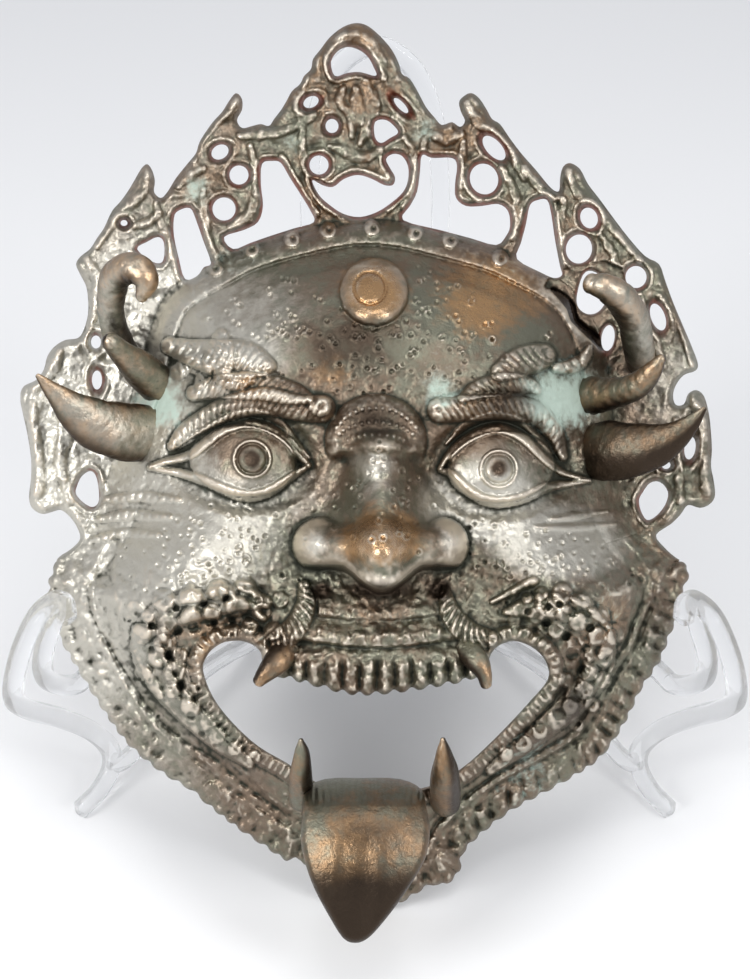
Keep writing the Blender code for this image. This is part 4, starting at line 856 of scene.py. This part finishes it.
def sheet_cells(edge, step, box):
    """Triangles that fill a box of the drawing where edge is positive, cut along its zero line.

    The grid's rows are staggered. A grid point close to the line slides onto it, and a
    triangle that the line still crosses is cut there. Returns the places and the triangles.
    """
    left, top, right, bottom = box
    columns, rows = int((right - left) / step), int((bottom - top) / step)
    row, column = np.mgrid[0:rows, 0:columns]
    x = (left + (column + 0.5 * (row % 2)) * step).ravel()
    y = (top + row * step).ravel()
    value = edge(x, y)
    slope_x = edge(x + 0.5, y) - edge(x - 0.5, y)
    slope_y = edge(x, y + 0.5) - edge(x, y - 0.5)
    slope = slope_x**2 + slope_y**2 + 1e-6
    near = (np.abs(value) < 0.3 * step) & (slope > 0.2)
    x = np.where(near, x - value * slope_x / slope, x)
    y = np.where(near, y - value * slope_y / slope, y)
    value = np.where(near, 0.0, value)
    corner = (row * columns + column)[:-1, :-1].ravel()
    odd = (corner // columns)[:, None] % 2 == 1
    first = np.where(odd, np.stack([corner, corner + columns, corner + columns + 1], 1),
                     np.stack([corner, corner + columns, corner + 1], 1))
    second = np.where(odd, np.stack([corner, corner + columns + 1, corner + 1], 1),
                      np.stack([corner + 1, corner + columns, corner + columns + 1], 1))
    cells = np.vstack([first, second])
    sign = np.sign(value)[cells]
    kept = [cells[(sign.min(1) >= 0) & (sign.max(1) > 0)]]
    places = [np.stack([x, y], 1)]
    count = len(x)

    def crossing(start, end):
        """New places where the zero line crosses the sides from start to end: their numbers."""
        nonlocal count
        low, high = np.minimum(start, end), np.maximum(start, end)
        share = value[low] / (value[low] - value[high])
        places.append(np.stack([x[low] + share * (x[high] - x[low]), y[low] + share * (y[high] - y[low])], 1))
        count += len(low)
        return np.arange(count - len(low), count)

    for turn in range(3):
        a, b, c = (cells[:, (turn + k) % 3] for k in range(3))
        sa, sb, sc = (sign[:, (turn + k) % 3] for k in range(3))
        tip = (sa > 0) & (sb < 0) & (sc < 0)
        kept.append(np.stack([a[tip], crossing(a[tip], b[tip]), crossing(a[tip], c[tip])], 1))
        wedge = (sa > 0) & (sb == 0) & (sc < 0)
        kept.append(np.stack([a[wedge], b[wedge], crossing(a[wedge], c[wedge])], 1))
        hinge = (sa > 0) & (sb < 0) & (sc == 0)
        kept.append(np.stack([a[hinge], crossing(a[hinge], b[hinge]), c[hinge]], 1))
        stump = (sa > 0) & (sb > 0) & (sc < 0)
        far, close = crossing(b[stump], c[stump]), crossing(a[stump], c[stump])
        kept.append(np.stack([a[stump], b[stump], far], 1))
        kept.append(np.stack([a[stump], far, close], 1))
    places, triangles = np.vstack(places), np.vstack(kept)
    _, first_use, index = np.unique(np.round(places, 5), axis=0, return_index=True, return_inverse=True)
    triangles = index.reshape(-1)[triangles]
    whole = (triangles[:, 0] != triangles[:, 1]) & (triangles[:, 1] != triangles[:, 2])
    whole &= triangles[:, 0] != triangles[:, 2]
    used, triangles = np.unique(triangles[whole], return_inverse=True)
    return places[first_use][used], triangles.reshape(-1, 3)


def placed(x, y, height):
    """Drawing places and heights (metres) as points: the draft narrows the drawing with height."""
    narrowed = 1 - height / DRAFT_POINT
    across = (x - DRAWN_CENTRE[0]) * UNIT * narrowed
    along = (DRAWN_CENTRE[1] - y) * UNIT * narrowed
    return MASK_PLACE + np.stack([across, along * math.sin(LEAN) - height * math.cos(LEAN),
                                  along * math.cos(LEAN) + height * math.sin(LEAN)], axis=-1)


def linked(name, data):
    """A new object in the scene, at the origin."""
    made = bpy.data.objects.new(name, data)
    bpy.context.scene.collection.objects.link(made)
    return made


def new_piece(name, points, faces, material, node, **attributes):
    """A piece from whole arrays of points and triangles, held inside the CAD box, with attributes."""
    low, high = np.array(cad_box)
    points = np.clip(points, low + 0.1 * MILLI, high - 0.1 * MILLI)
    mesh = bpy.data.meshes.new(name)
    mesh.vertices.add(len(points))
    mesh.vertices.foreach_set("co", np.asarray(points, np.float32).ravel())
    mesh.loops.add(faces.size)
    mesh.loops.foreach_set("vertex_index", faces.astype(np.int32).ravel())
    mesh.polygons.add(len(faces))
    mesh.polygons.foreach_set("loop_start", np.arange(0, faces.size, faces.shape[1], dtype=np.int32))
    mesh.update(calc_edges=True)
    mesh.polygons.foreach_set("use_smooth", np.ones(len(faces), bool))
    for key, values in attributes.items():
        layer = mesh.attributes.new(key, "FLOAT", "POINT")
        layer.data.foreach_set("value", np.asarray(values, np.float32))
    mesh.materials.append(material)
    mesh.validate()
    piece = linked(name, mesh)
    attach(piece, "root")
    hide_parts(node)
    return piece


def solid_sheet(name, cut, depth, front, back, step, material, tints, box=DRAWN_BOX):
    """A closed cast sheet between a front and a back surface.

    It is rounded towards the metal's own edge, where depth is none, and square where it is only
    cut from the next sheet.
    """
    places, triangles = sheet_cells(lambda x, y: sampled(cut, x, y), step, box)
    x, y = places.T
    sides = np.vstack([triangles[:, [0, 1]], triangles[:, [1, 2]], triangles[:, [2, 0]]])
    _, first, uses = np.unique(np.sort(sides, axis=1), axis=0, return_index=True, return_counts=True)
    rim = sides[first[uses == 1]]
    front_height, back_height = sampled(front, x, y), sampled(back, x, y)
    metal = sampled(depth, x, y)
    share = np.clip(metal / EDGE_ROUND, 0, 1)
    fullness = np.maximum(np.sqrt(1 - (1 - share) ** 2), 0.12)
    middle, half = (front_height + back_height) / 2, (front_height - back_height) / 2
    points = np.vstack([placed(x, y, middle + half * fullness), placed(x, y, middle - half * fullness)])
    start, end, count = rim[:, 0], rim[:, 1], len(x)
    walls = [np.stack([start, start + count, end + count], 1), np.stack([start, end + count, end], 1)]
    faces = np.vstack([triangles, triangles[:, ::-1] + count, *walls])
    values = {key: np.concatenate([sampled(raster, x, y), sampled(raster, x, y) * back_share])
              for key, (raster, back_share) in tints.items()}
    piece = new_piece(name, points, faces, material, "bronze_mask", **values)
    seam = np.zeros(2 * count, bool)
    seam[rim.ravel()] = metal[rim.ravel()] > EDGE_ROUND
    seam[count:] = seam[:count]
    ends = np.zeros(2 * len(piece.data.edges), np.int32)
    piece.data.edges.foreach_get("vertices", ends)
    sharp = seam[ends.reshape(-1, 2)].all(1)
    piece.data.attributes.new("sharp_edge", "BOOLEAN", "EDGE").data.foreach_set("value", sharp)
    return thinned(piece, MOST_TRIANGLES)


def thinned(piece, most):
    """The piece with fewer triangles where it is plain, at most a given number of them."""
    if len(piece.data.polygons) <= most:
        return piece
    modifier = piece.modifiers.new("fewer_faces", "DECIMATE")
    modifier.ratio = most / len(piece.data.polygons)
    graph = bpy.context.evaluated_depsgraph_get()
    mesh = bpy.data.meshes.new_from_object(piece.evaluated_get(graph))
    piece.modifiers.clear()
    old, piece.data = piece.data, mesh
    bpy.data.meshes.remove(old)
    return piece


def unit(directions):
    """The directions, each with a length of 1."""
    return directions / np.linalg.norm(directions, axis=-1, keepdims=True)


def lofted(centres, side, rise, sides, squareness=1.0, swell=None):
    """Points and faces of a closed bar: side and rise are half axes of its section at each centre.

    The section is an oval, or with a squareness under 1 a block with rounded corners. Rings
    that close to a point cap both ends.
    """
    angle = 2 * math.pi * (np.arange(sides) + (squareness < 1) / 2) / sides
    wide, tall = (np.sign(part) * np.abs(part) ** squareness for part in (np.cos(angle), np.sin(angle)))
    reach = np.ones((len(centres), sides)) if swell is None else swell
    section = side[:, None] * wide[:, None] + rise[:, None] * tall[:, None]
    rings = centres[:, None] + section * reach[..., None]
    count = len(centres)
    points = np.vstack([rings.reshape(-1, 3), centres[:1], centres[-1:]])
    ring, k = np.mgrid[0:count - 1, 0:sides]
    a, b = (ring * sides + k).ravel(), (ring * sides + (k + 1) % sides).ravel()
    k = np.arange(sides)
    last = (count - 1) * sides
    faces = np.vstack([
        np.stack([a, b, b + sides], 1), np.stack([a, b + sides, a + sides], 1),
        np.stack([k, np.full(sides, count * sides), (k + 1) % sides], 1),
        np.stack([last + k, last + (k + 1) % sides, np.full(sides, count * sides + 1)], 1)])
    return points, faces


def add_prong(name, places, flatness, ring_pitch, tone, material, tints):
    """A horn, ear or fang: a round or flat bar along its places, with rings around it a pitch apart.

    Short cuts stand in rows along it, darkened as its hollows are. It is worn towards its tip, with a painted
    highlight that makes it paler above with a tone over 0, darker with one under 0, and painted shade beneath
    and on one side.
    """
    curve = smooth_curve(places, False, 14)
    tip, step = curve[-1], curve[-1] - curve[-2]
    ends = np.linspace(0, 1, 8)[1:, None]
    cap = tip + step / np.linalg.norm(step[:2]) * tip[3] * np.sin(ends * math.pi / 2) * 0.9
    cap[:, 3] = tip[3] * np.cos(ends[:, 0] * math.pi / 2 * 0.98)
    curve = np.vstack([curve, cap])
    centres = placed(curve[:, 0], curve[:, 1], curve[:, 2] * MILLI)
    along = unit(np.gradient(centres, axis=0))
    across = unit(np.cross(along, (0.0, -math.cos(LEAN), math.sin(LEAN))))
    rise = np.cross(across, along)
    radius = (curve[:, 3] * UNIT)[:, None]
    length = np.concatenate([[0], np.cumsum(np.hypot(*np.diff(curve[:, :2], axis=0).T))])
    run, angle = length[:, None], 2 * math.pi * np.arange(PRONG_SIDES) / PRONG_SIDES
    uneven = 0.02 * np.sin(run / 9 + 2 * angle) + 0.015 * np.sin(run / 5 - 3 * angle)
    row = np.round(angle * CUT_ROWS / math.pi)
    cut = rippled(run + 4 * row, CUT_PITCH, 10) * np.abs(np.cos(angle * CUT_ROWS)) ** 2
    uneven = uneven - 0.05 * cut
    if ring_pitch:
        uneven = uneven - 0.04 * rippled(run + 4 * np.sin(angle), ring_pitch, 6)
    points, faces = lofted(centres, across * radius, rise * radius * flatness, PRONG_SIDES, 1.0, 1 + uneven)

    def around(values, ends=(0, 0)):
        """Values of the rings' places, one row for each ring, and of the two ends."""
        return np.concatenate([np.broadcast_to(values, cut.shape).ravel(), ends])

    towards = 1 if tip[0] > curve[0, 0] - 40 else -1
    share, cuts = around(run / length[-1], (0, 1)), around(cut)
    under, shaded = around(-np.sin(angle)), around(np.cos(angle) * towards)
    values = {key: np.zeros(len(points)) for key in tints}
    values["wear_and_shade"] = 0.1 + 0.8 * share**3 - 0.9 * cuts
    values["copper"] = 0.36 + 0.34 * share**2
    # Painted highlight on the upper side, and painted shade beneath and on one side
    values["pale"] = 0.6 * np.clip(-under, 0, 1) * tone
    values["dark"] = 0.95 * np.clip(under + 0.15, 0, 1) + 0.6 * max(0.0, -tone) + 0.9 * np.clip(shaded, 0, 1)
    return new_piece(name, points, faces, material, "bronze_mask", **values)


def new_material(name):
    """A material with nodes, and its shader."""
    material = bpy.data.materials.new(name)
    material.use_nodes = True
    return material, material.node_tree.nodes["Principled BSDF"]


def bronze_material():
    """Old bronze: grey-olive skin over brown metal, polished where raised, near black in the hollows with
    dark patina and painted shade.
    """
    material, shader = new_material("old bronze")
    nodes, links = material.node_tree.nodes, material.node_tree.links

    def made(kind, result, inputs, **settings):
        """A node's result, with its inputs set to numbers and colours or joined to other results."""
        node = nodes.new(kind)
        for key, value in settings.items():
            setattr(node, key, value)
        for key, value in inputs.items():
            if isinstance(value, bpy.types.NodeSocket):
                links.new(value, node.inputs[key])
            else:
                node.inputs[key].default_value = (*value, 1) if isinstance(value, tuple) else value
        return node.outputs[result]

    def noise(scale, detail=4.0, rough=0.6):
        """An uneven value around a half, with so many lumps a metre."""
        settings = {"Scale": scale, "Detail": detail, "Roughness": rough, "Vector": place}
        return made("ShaderNodeTexNoise", "Fac", settings)

    def ramp(value, low, high):
        """The value's share of the way from low to high, eased at both ends."""
        inputs = {"Value": value, "From Min": low, "From Max": high}
        return made("ShaderNodeMapRange", "Result", inputs, interpolation_type="SMOOTHSTEP")

    def maths(operation, *values):
        """The result of one operation on numbers or other results."""
        return made("ShaderNodeMath", 0, dict(enumerate(values)), operation=operation)

    def uneven(value, source, amount):
        """The value with a share of a noise around its middle added."""
        return maths("MULTIPLY_ADD", maths("SUBTRACT", source, 0.5), amount, value)

    def mixed(share, first, second):
        """The first colour, blended by a share into the second."""
        inputs = {"Factor": share, "A": first, "B": second}
        return made("ShaderNodeMix", "Result", inputs, data_type="RGBA")

    place = made("ShaderNodeTexCoord", "Object", {})
    wear_and_shade, copper, green, dark, pale, red = (
        made("ShaderNodeAttribute", "Fac", {}, attribute_name=name)
        for name in ("wear_and_shade", "copper", "green", "dark", "pale", "red"))
    clouds, fine, grain = noise(45, 6), noise(330, 6, 0.65), noise(1500, 3)
    skin = mixed(ramp(uneven(clouds, fine, 0.5), 0.36, 0.62), BRONZE_OLIVE, BRONZE_BROWN)
    # Paler patina, and painted sheen and highlights
    skin = mixed(ramp(uneven(pale, fine, 0.8), 0.2, 0.9), skin, BRONZE_PALE_AND_SHEEN)
    rubbed = ramp(uneven(uneven(copper, clouds, 1.6), fine, 1.2), 0.25, 1.15)
    skin = mixed(rubbed, skin, BRONZE_COPPER)
    skin = mixed(ramp(grain, 0.36, 0.14), skin, BRONZE_HOLLOW)
    skin = mixed(ramp(uneven(wear_and_shade, fine, 0.9), 0.3, 1.9), skin, BRONZE_POLISHED)
    skin = mixed(ramp(uneven(red, noise(160, 5), 2.4), 0.75, 1.5), skin, BRONZE_RED)
    # Dark patina and painted shade in the hollows: the more a place sinks below the mean around it, the
    # nearer black
    hollow = ramp(uneven(maths("MULTIPLY", wear_and_shade, -1.0), fine, 0.9), 0.15, 1.6)
    skin = mixed(hollow, skin, BRONZE_HOLLOW)
    verdigris = ramp(uneven(uneven(green, fine, 2.6), clouds, 1.4), 0.35, 1.55)
    skin = mixed(verdigris, skin, VERDIGRIS)
    # Dark patina and painted shade, from the dark tint
    skin = mixed(ramp(uneven(dark, clouds, 0.8), 0.3, 0.95), skin, BRONZE_DARK_AND_SHADE)
    links.new(skin, shader.inputs["Base Color"])
    dull = maths("ADD", hollow, verdigris)
    rough = maths("MULTIPLY_ADD", rubbed, -0.17, maths("MULTIPLY_ADD", dull, 0.25, 0.43))
    rough = uneven(uneven(rough, grain, 0.2), fine, 0.3)
    links.new(rough, shader.inputs["Roughness"])
    links.new(maths("MULTIPLY_ADD", verdigris, -0.85, 1.0), shader.inputs["Metallic"])
    bump = {"Distance": 0.0005, "Strength": 0.45, "Height": maths("MULTIPLY_ADD", grain, 0.6, fine)}
    links.new(made("ShaderNodeBump", "Normal", bump), shader.inputs["Normal"])
    return material


def plain_material(name, colour, roughness, **more):
    """One even material, its constants set on the shader's own sockets."""
    material, shader = new_material(name)
    shader.inputs["Base Color"].default_value = colour
    shader.inputs["Roughness"].default_value = roughness
    for key, value in more.items():
        shader.inputs[key.replace("_", " ")].default_value = value
    return material


def build_mask(material):
    """The mask's sheets, the face, the beard and the openwork crown with its plates, and its horns."""
    x, y = GRID_X, GRID_Y
    opening = np.full(x.shape, float(EDGE_REACH))
    for outline in OPENINGS:
        opening = np.minimum(opening, -edge_depth(outline))
    for across, down, half_width, half_height, turn in ROUND_HOLES:
        ratio = ellipse_ratio(x, y, across, down, half_width, half_height, turn)
        opening = np.minimum(opening, (ratio - 1) * min(half_width, half_height))
    depth = np.minimum(edge_depth(OUTLINE), opening)
    toothed = (np.abs(x - MOUTH_MIDDLE) < 96) * (y > TEETH_FROM) * (y < TEETH_TO)
    depth -= 4.0 * rippled(tooth_run(), TOOTH_PITCH, 3) * toothed
    inside = softened(far_depth(FACE), 2)
    part, run = beard_edge()
    wave = run + 6 * cast_noise(11, 40)[part]
    depth[part] -= 2.6 * rippled(wave, LOCK_PITCH, 3) * (inside[part] < 14) * (y[part] > 560)
    skin = np.where(inside > 40, spotted(x, y, PITTED_SKIN), 0)
    pits = np.vstack([scattered(21, 9.5, 0.7 * skin), scattered(22, 17, 0.9 * skin)])
    smooth = np.clip(spotted(x, y, SMOOTH_SKIN), 0, 1)
    carved = carved_relief(depth, opening, inside, smooth, pits) * MILLI
    on_face = eased((inside - 4) / 16)
    wall = CROWN_WALL + (FACE_WALL - CROWN_WALL) * on_face
    evened = softened(blurred(carved, 3), 2)
    shell = rolled_off(evened[::2, ::2], FACE_WALL, FACE_WALL / UNIT / 2)
    back = sampled(shell, x, y, 2) * on_face + (evened - CROWN_WALL) * (1 - on_face)
    back = np.minimum(back, carved - 0.7 * wall)
    tints = mask_tints(carved, depth, opening, inside, smooth)
    # Each sheet laps under the next one by a few units, a little lower
    low_zone = BEARD_WIDTH * eased((y - BEARD_TOP) / 20)
    under = carved - 0.25 * MILLI * eased((inside - low_zone + 1) / 2.5)
    sheets = (("mask_face", inside - low_zone, carved, FACE_STEP),
              ("mask_beard", np.minimum(BEARD_WIDTH + LAP - inside, y - BEARD_TOP + 2), under, FACE_STEP),
              ("mask_crown", np.minimum(LAP + 1 - inside, CROWN_FOOT - y), under, CROWN_STEP))
    for name, reach, front, step in sheets:
        solid_sheet(name, np.minimum(depth, reach), depth, front, back, step, material, tints)
    for name, shape in PRONGS.items():
        add_prong(name, *shape, material, tints)
    add_tongue(material)


def mask_tints(carved, depth, opening, inside, smooth):
    """The tints on the fine grid: each a raster, and the share of it that the back takes.

    Wear is how far a place stands out from the mean around it, at three reaches; where it sinks below that
    mean, the hollows are darkened with dark patina and painted shade.
    """
    x, y = GRID_X, GRID_Y
    wear_and_shade = sum(share * (carved - blurred(carved, reach)) for share, reach in WEAR_AND_SHADE_REACHES) / MILLI
    wear_and_shade = np.clip(wear_and_shade, -1.6, 1.6) * np.where(depth < 4, 0.6, 1)
    wear_and_shade *= np.where(wear_and_shade < 0, 1 - 0.65 * smooth, 1)
    crown = eased((255 - y) / 40)
    copper = 0.3 * crown + spotted(x, y, COPPER_SPOTS)
    # Pale: paler patina and painted highlights, with the left side painted lighter, towards the window light
    pale = spotted(x, y, PALE_AND_SHEEN_SPOTS) + 0.45 * eased((420 - x) / 300)
    # Dark: dark patina and painted shade from the spots, darker over the crown, and a painted shadow in the
    # crack along the break line
    dark = spotted(x, y, DARK_AND_SHADE_SPOTS) + 0.38 * eased((240 - y) / 40)
    dark += 1.5 * eased((1.2 - along_path(x, y, BREAK_LINE)[0]) / 0.6)
    red = 1.1 * eased((7 - opening) / 6) * eased((8 - inside) / 8) + spotted(x, y, RED_SPOTS) + 0.25 * crown
    return {"wear_and_shade": (wear_and_shade, 0.0), "copper": (copper, 0.0), "green": (spotted(x, y, GREEN_SPOTS), 0.6),
            "dark": (dark, 0.0), "pale": (pale, 0.45), "red": (red, 0.0)}


def add_tongue(material):
    """The tongue: a thick leaf that rolls out over the lower lip and hangs before the chin."""
    ring = smooth_curve(TONGUE, True, 3)
    depth = edge_depth(TONGUE, 70)
    rows, heights = smooth_curve(TONGUE_PROFILE, False).T
    middle = 364 - 8 * eased((GRID_Y - 800) / 140)
    height = np.interp(GRID_Y, rows, heights)
    height = height - 3.5 * np.clip(np.abs(GRID_X - middle) / 66, 0, 1) ** 2.4
    hatch = rippled(GRID_X - 364, 7, 4) * eased((806 - GRID_Y) / 10)
    height = height - 0.8 * hatch + 0.15 * cast_noise(8, 30) + 0.04 * cast_noise(9, 4)
    height = height - 1.1 * swelling((GRID_X - middle) / 26) * eased((GRID_Y - 815) / 40)
    front = softened(height, 1) * MILLI
    back = softened(height, 6) * MILLI - TONGUE_WALL
    back = np.minimum(back, front - 0.7 * TONGUE_WALL)
    side, plain = eased((30 - depth) / 30), np.zeros(GRID_X.shape)
    low = eased((GRID_Y - 850) / 60)
    # Polished along its sides, darker towards the bottom and in its hatch cuts
    wear_and_shade = 0.5 * side * eased((900 - GRID_Y) / 60) - 0.4 * low - hatch * 0.4
    tints = {"wear_and_shade": (wear_and_shade, 0.0), "copper": (0.5 + 0.35 * spot(GRID_X, GRID_Y, 345, 870, 50, 70), 0.0),
             "green": (plain, 0.0), "dark": (0.6 + 0.45 * low, 0.0), "pale": (plain, 0.0),
             "red": (plain + 0.3, 0.0)}
    box = (ring[:, 0].min() - 4, ring[:, 1].min() - 4, ring[:, 0].max() + 6, ring[:, 1].max() + 6)
    solid_sheet("tongue", depth, depth, front, back, FACE_STEP, material, tints, box)


def strap(path, thickness):
    """Points and faces of a moulded strap along an upright path, its width in the path's own plane."""
    centres = smooth_curve(path, False, 10)
    centres[:, 2] = np.maximum(centres[:, 2], STRAP_WIDTH / 2)
    along = unit(np.gradient(centres, axis=0))
    farthest = centres[np.argmax(np.hypot(*(centres - centres[0]).T[:2]))]
    normal = unit(np.cross(farthest - centres[0], (0.0, 0.0, 1.0)))
    across = unit(np.cross(along, normal))
    side = np.repeat(normal[None], len(centres), axis=0)
    return lofted(centres, across * STRAP_WIDTH / 2, side * thickness / 2, 20, 0.6)


def build_stand(material):
    """The clear stand: two scroll-shaped sides with hooks and ledges, and the hoop behind the crown."""
    foot, ledge = STRAP_WIDTH / 2, LEDGE_HEIGHT - STRAP_WIDTH / 2
    top, reach = LEDGE_HEIGHT + LIP_RISE - STRAP_WIDTH / 2, SCROLL_REACH
    run = np.array([HOOP_HALF_WIDTH - LEDGE_HALF_WIDTH, HOOP_SETBACK])
    arm = np.linalg.norm(run)
    scroll = [(0.04, top - 0.26 * LIP_RISE), (0.05, top - 0.1 * LIP_RISE), (0.18, top),
              (0.5, top - 0.01 * LIP_RISE), (0.83, top - 0.24 * LIP_RISE), (1.0, top - 0.55 * LIP_RISE),
              (0.85, 1.08 * LEDGE_HEIGHT), (0.36, 0.83 * LEDGE_HEIGHT), (-0.11, 0.56 * LEDGE_HEIGHT),
              (-0.42, 0.3 * LEDGE_HEIGHT), (-0.4, 0.14 * LEDGE_HEIGHT), (-0.1, foot), (0.2, foot)]
    hook = [(0.12, top - 0.04 * LIP_RISE), (0.28, top - 0.2 * LIP_RISE), (0.46, top - 0.4 * LIP_RISE),
            (0.5, top - 0.6 * LIP_RISE), (0.35, top - 0.8 * LIP_RISE), (0, ledge), (-0.4, ledge)]
    scroll, hook = ([(forward * reach, up) for forward, up in profile] for profile in (scroll, hook))
    hook += [(-0.5 * arm, ledge), (-arm, ledge)]
    runner = [(-0.08, 0.7), (-0.16, 0.3), (-0.3, 0.8), (-0.45, 1), (-0.58, 0.6), (-0.72, 0), (-1.0, 0)]
    runner = [(forward * arm, foot + up * RUNNER_RISE) for forward, up in runner]
    straps = []
    for hand in (-1, 1):
        for profile, thickness in ((scroll, 1.0), (hook, 0.95), (runner, 0.9)):
            path = [(hand * (LEDGE_HALF_WIDTH - forward * run[0] / arm), -forward * run[1] / arm, up)
                    for forward, up in profile]
            straps.append(strap(path, thickness * STRAP_THICKNESS))
    post = [(1.0, 0.01), (1.0, 0.35), (1.0, 0.7), (0.97, 0.8), (0.86, 0.89), (0.55, 0.965), (0.0, 1.0)]
    crest = HOOP_HEIGHT - STRAP_WIDTH / 2
    path = [(-HOOP_HALF_WIDTH * across, HOOP_SETBACK, crest * up) for across, up in post]
    path += [(-across, back, up) for across, back, up in path[-2::-1]]
    straps.append(strap(path, STRAP_THICKNESS))
    low, high = (np.array(corner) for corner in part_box("display_stand"))
    all_points = np.vstack([points for points, _ in straps])
    shift = (low + high) / 2 - (all_points.min(0) + all_points.max(0)) / 2
    shift[2] = low[2] - all_points[:, 2].min()
    pieces = []
    for index, (points, faces) in enumerate(straps):
        mesh = bpy.data.meshes.new(f"strap{index}")
        mesh.from_pydata((points + shift).tolist(), [], faces.tolist())
        mesh.polygons.foreach_set("use_smooth", np.ones(len(mesh.polygons), bool))
        mesh.materials.append(material)
        pieces.append(linked(f"strap{index}", mesh))
    stand = pieces.pop()
    for piece in pieces:
        union = stand.modifiers.new(piece.name, "BOOLEAN")
        union.operation = "UNION"
        union.solver = "EXACT"
        union.object = piece
    graph = bpy.context.evaluated_depsgraph_get()
    stand.data = bpy.data.meshes.new_from_object(stand.evaluated_get(graph))
    stand.modifiers.clear()
    for piece in pieces:
        bpy.data.objects.remove(piece)
    stand.name = "clear_stand"
    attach(stand, "root")
    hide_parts("display_stand")


def build_table():
    """The table: one level sheet, wide enough to fill the view, with nothing standing behind the mask."""
    side = np.linspace(-TABLE_HALF, TABLE_HALF, TABLE_CELLS + 1)
    across, back = np.meshgrid(side, side)
    points = np.stack([across.ravel(), back.ravel(), np.zeros(across.size)], 1)
    row = TABLE_CELLS + 1
    corner = (np.arange(TABLE_CELLS)[:, None] * row + np.arange(TABLE_CELLS)).ravel()
    faces = np.stack([corner, corner + 1, corner + row + 1, corner + row], 1)
    mesh = bpy.data.meshes.new("table")
    mesh.from_pydata(points.tolist(), [], faces.tolist())
    mesh.materials.append(plain_material("white table", TABLE_COLOUR, 0.6))
    linked("table", mesh)


def build_light():
    """An even pale room and three soft square lights that face the mask."""
    world = bpy.data.worlds.new("soft room")
    world.use_nodes = True
    background = world.node_tree.nodes["Background"]
    background.inputs["Color"].default_value = ROOM_COLOUR
    background.inputs["Strength"].default_value = ROOM_STRENGTH
    bpy.context.scene.world = world
    for name, (place, size, power) in LAMPS.items():
        lamp = bpy.data.lights.new(name, "AREA")
        lamp.energy = power
        lamp.size = size
        light = linked(name, lamp)
        light.location = place
        towards = np.array(LIT_PLACE) - np.array(place)
        level = math.hypot(towards[0], towards[1])
        light.rotation_euler = (math.atan2(level, -towards[2]), 0, math.atan2(-towards[0], towards[1]))


def build_camera():
    """The camera looks square at the mask's drawing from twice its height away."""
    camera = linked("camera", bpy.data.cameras.new("camera"))
    away = np.array([0.0, -math.cos(LEAN), math.sin(LEAN)])
    camera.location = MASK_PLACE + DRAFT_POINT * away
    camera.rotation_euler = (math.pi / 2 - LEAN, 0, 0)
    camera.data.lens = SENSOR * DRAFT_POINT / UNIT / PHOTO_ROWS
    camera.data.clip_start = 0.01
    bpy.context.scene.camera = camera


bronze = bronze_material()
build_camera()
build_light()
build_table()
build_mask(bronze)
build_stand(plain_material("clear plastic", (0.98, 0.99, 1.0, 1), 0.03, IOR=1.25, Transmission_Weight=1.0,
                           Alpha=0.6))

bpy.context.scene.view_settings.view_transform = "Standard"
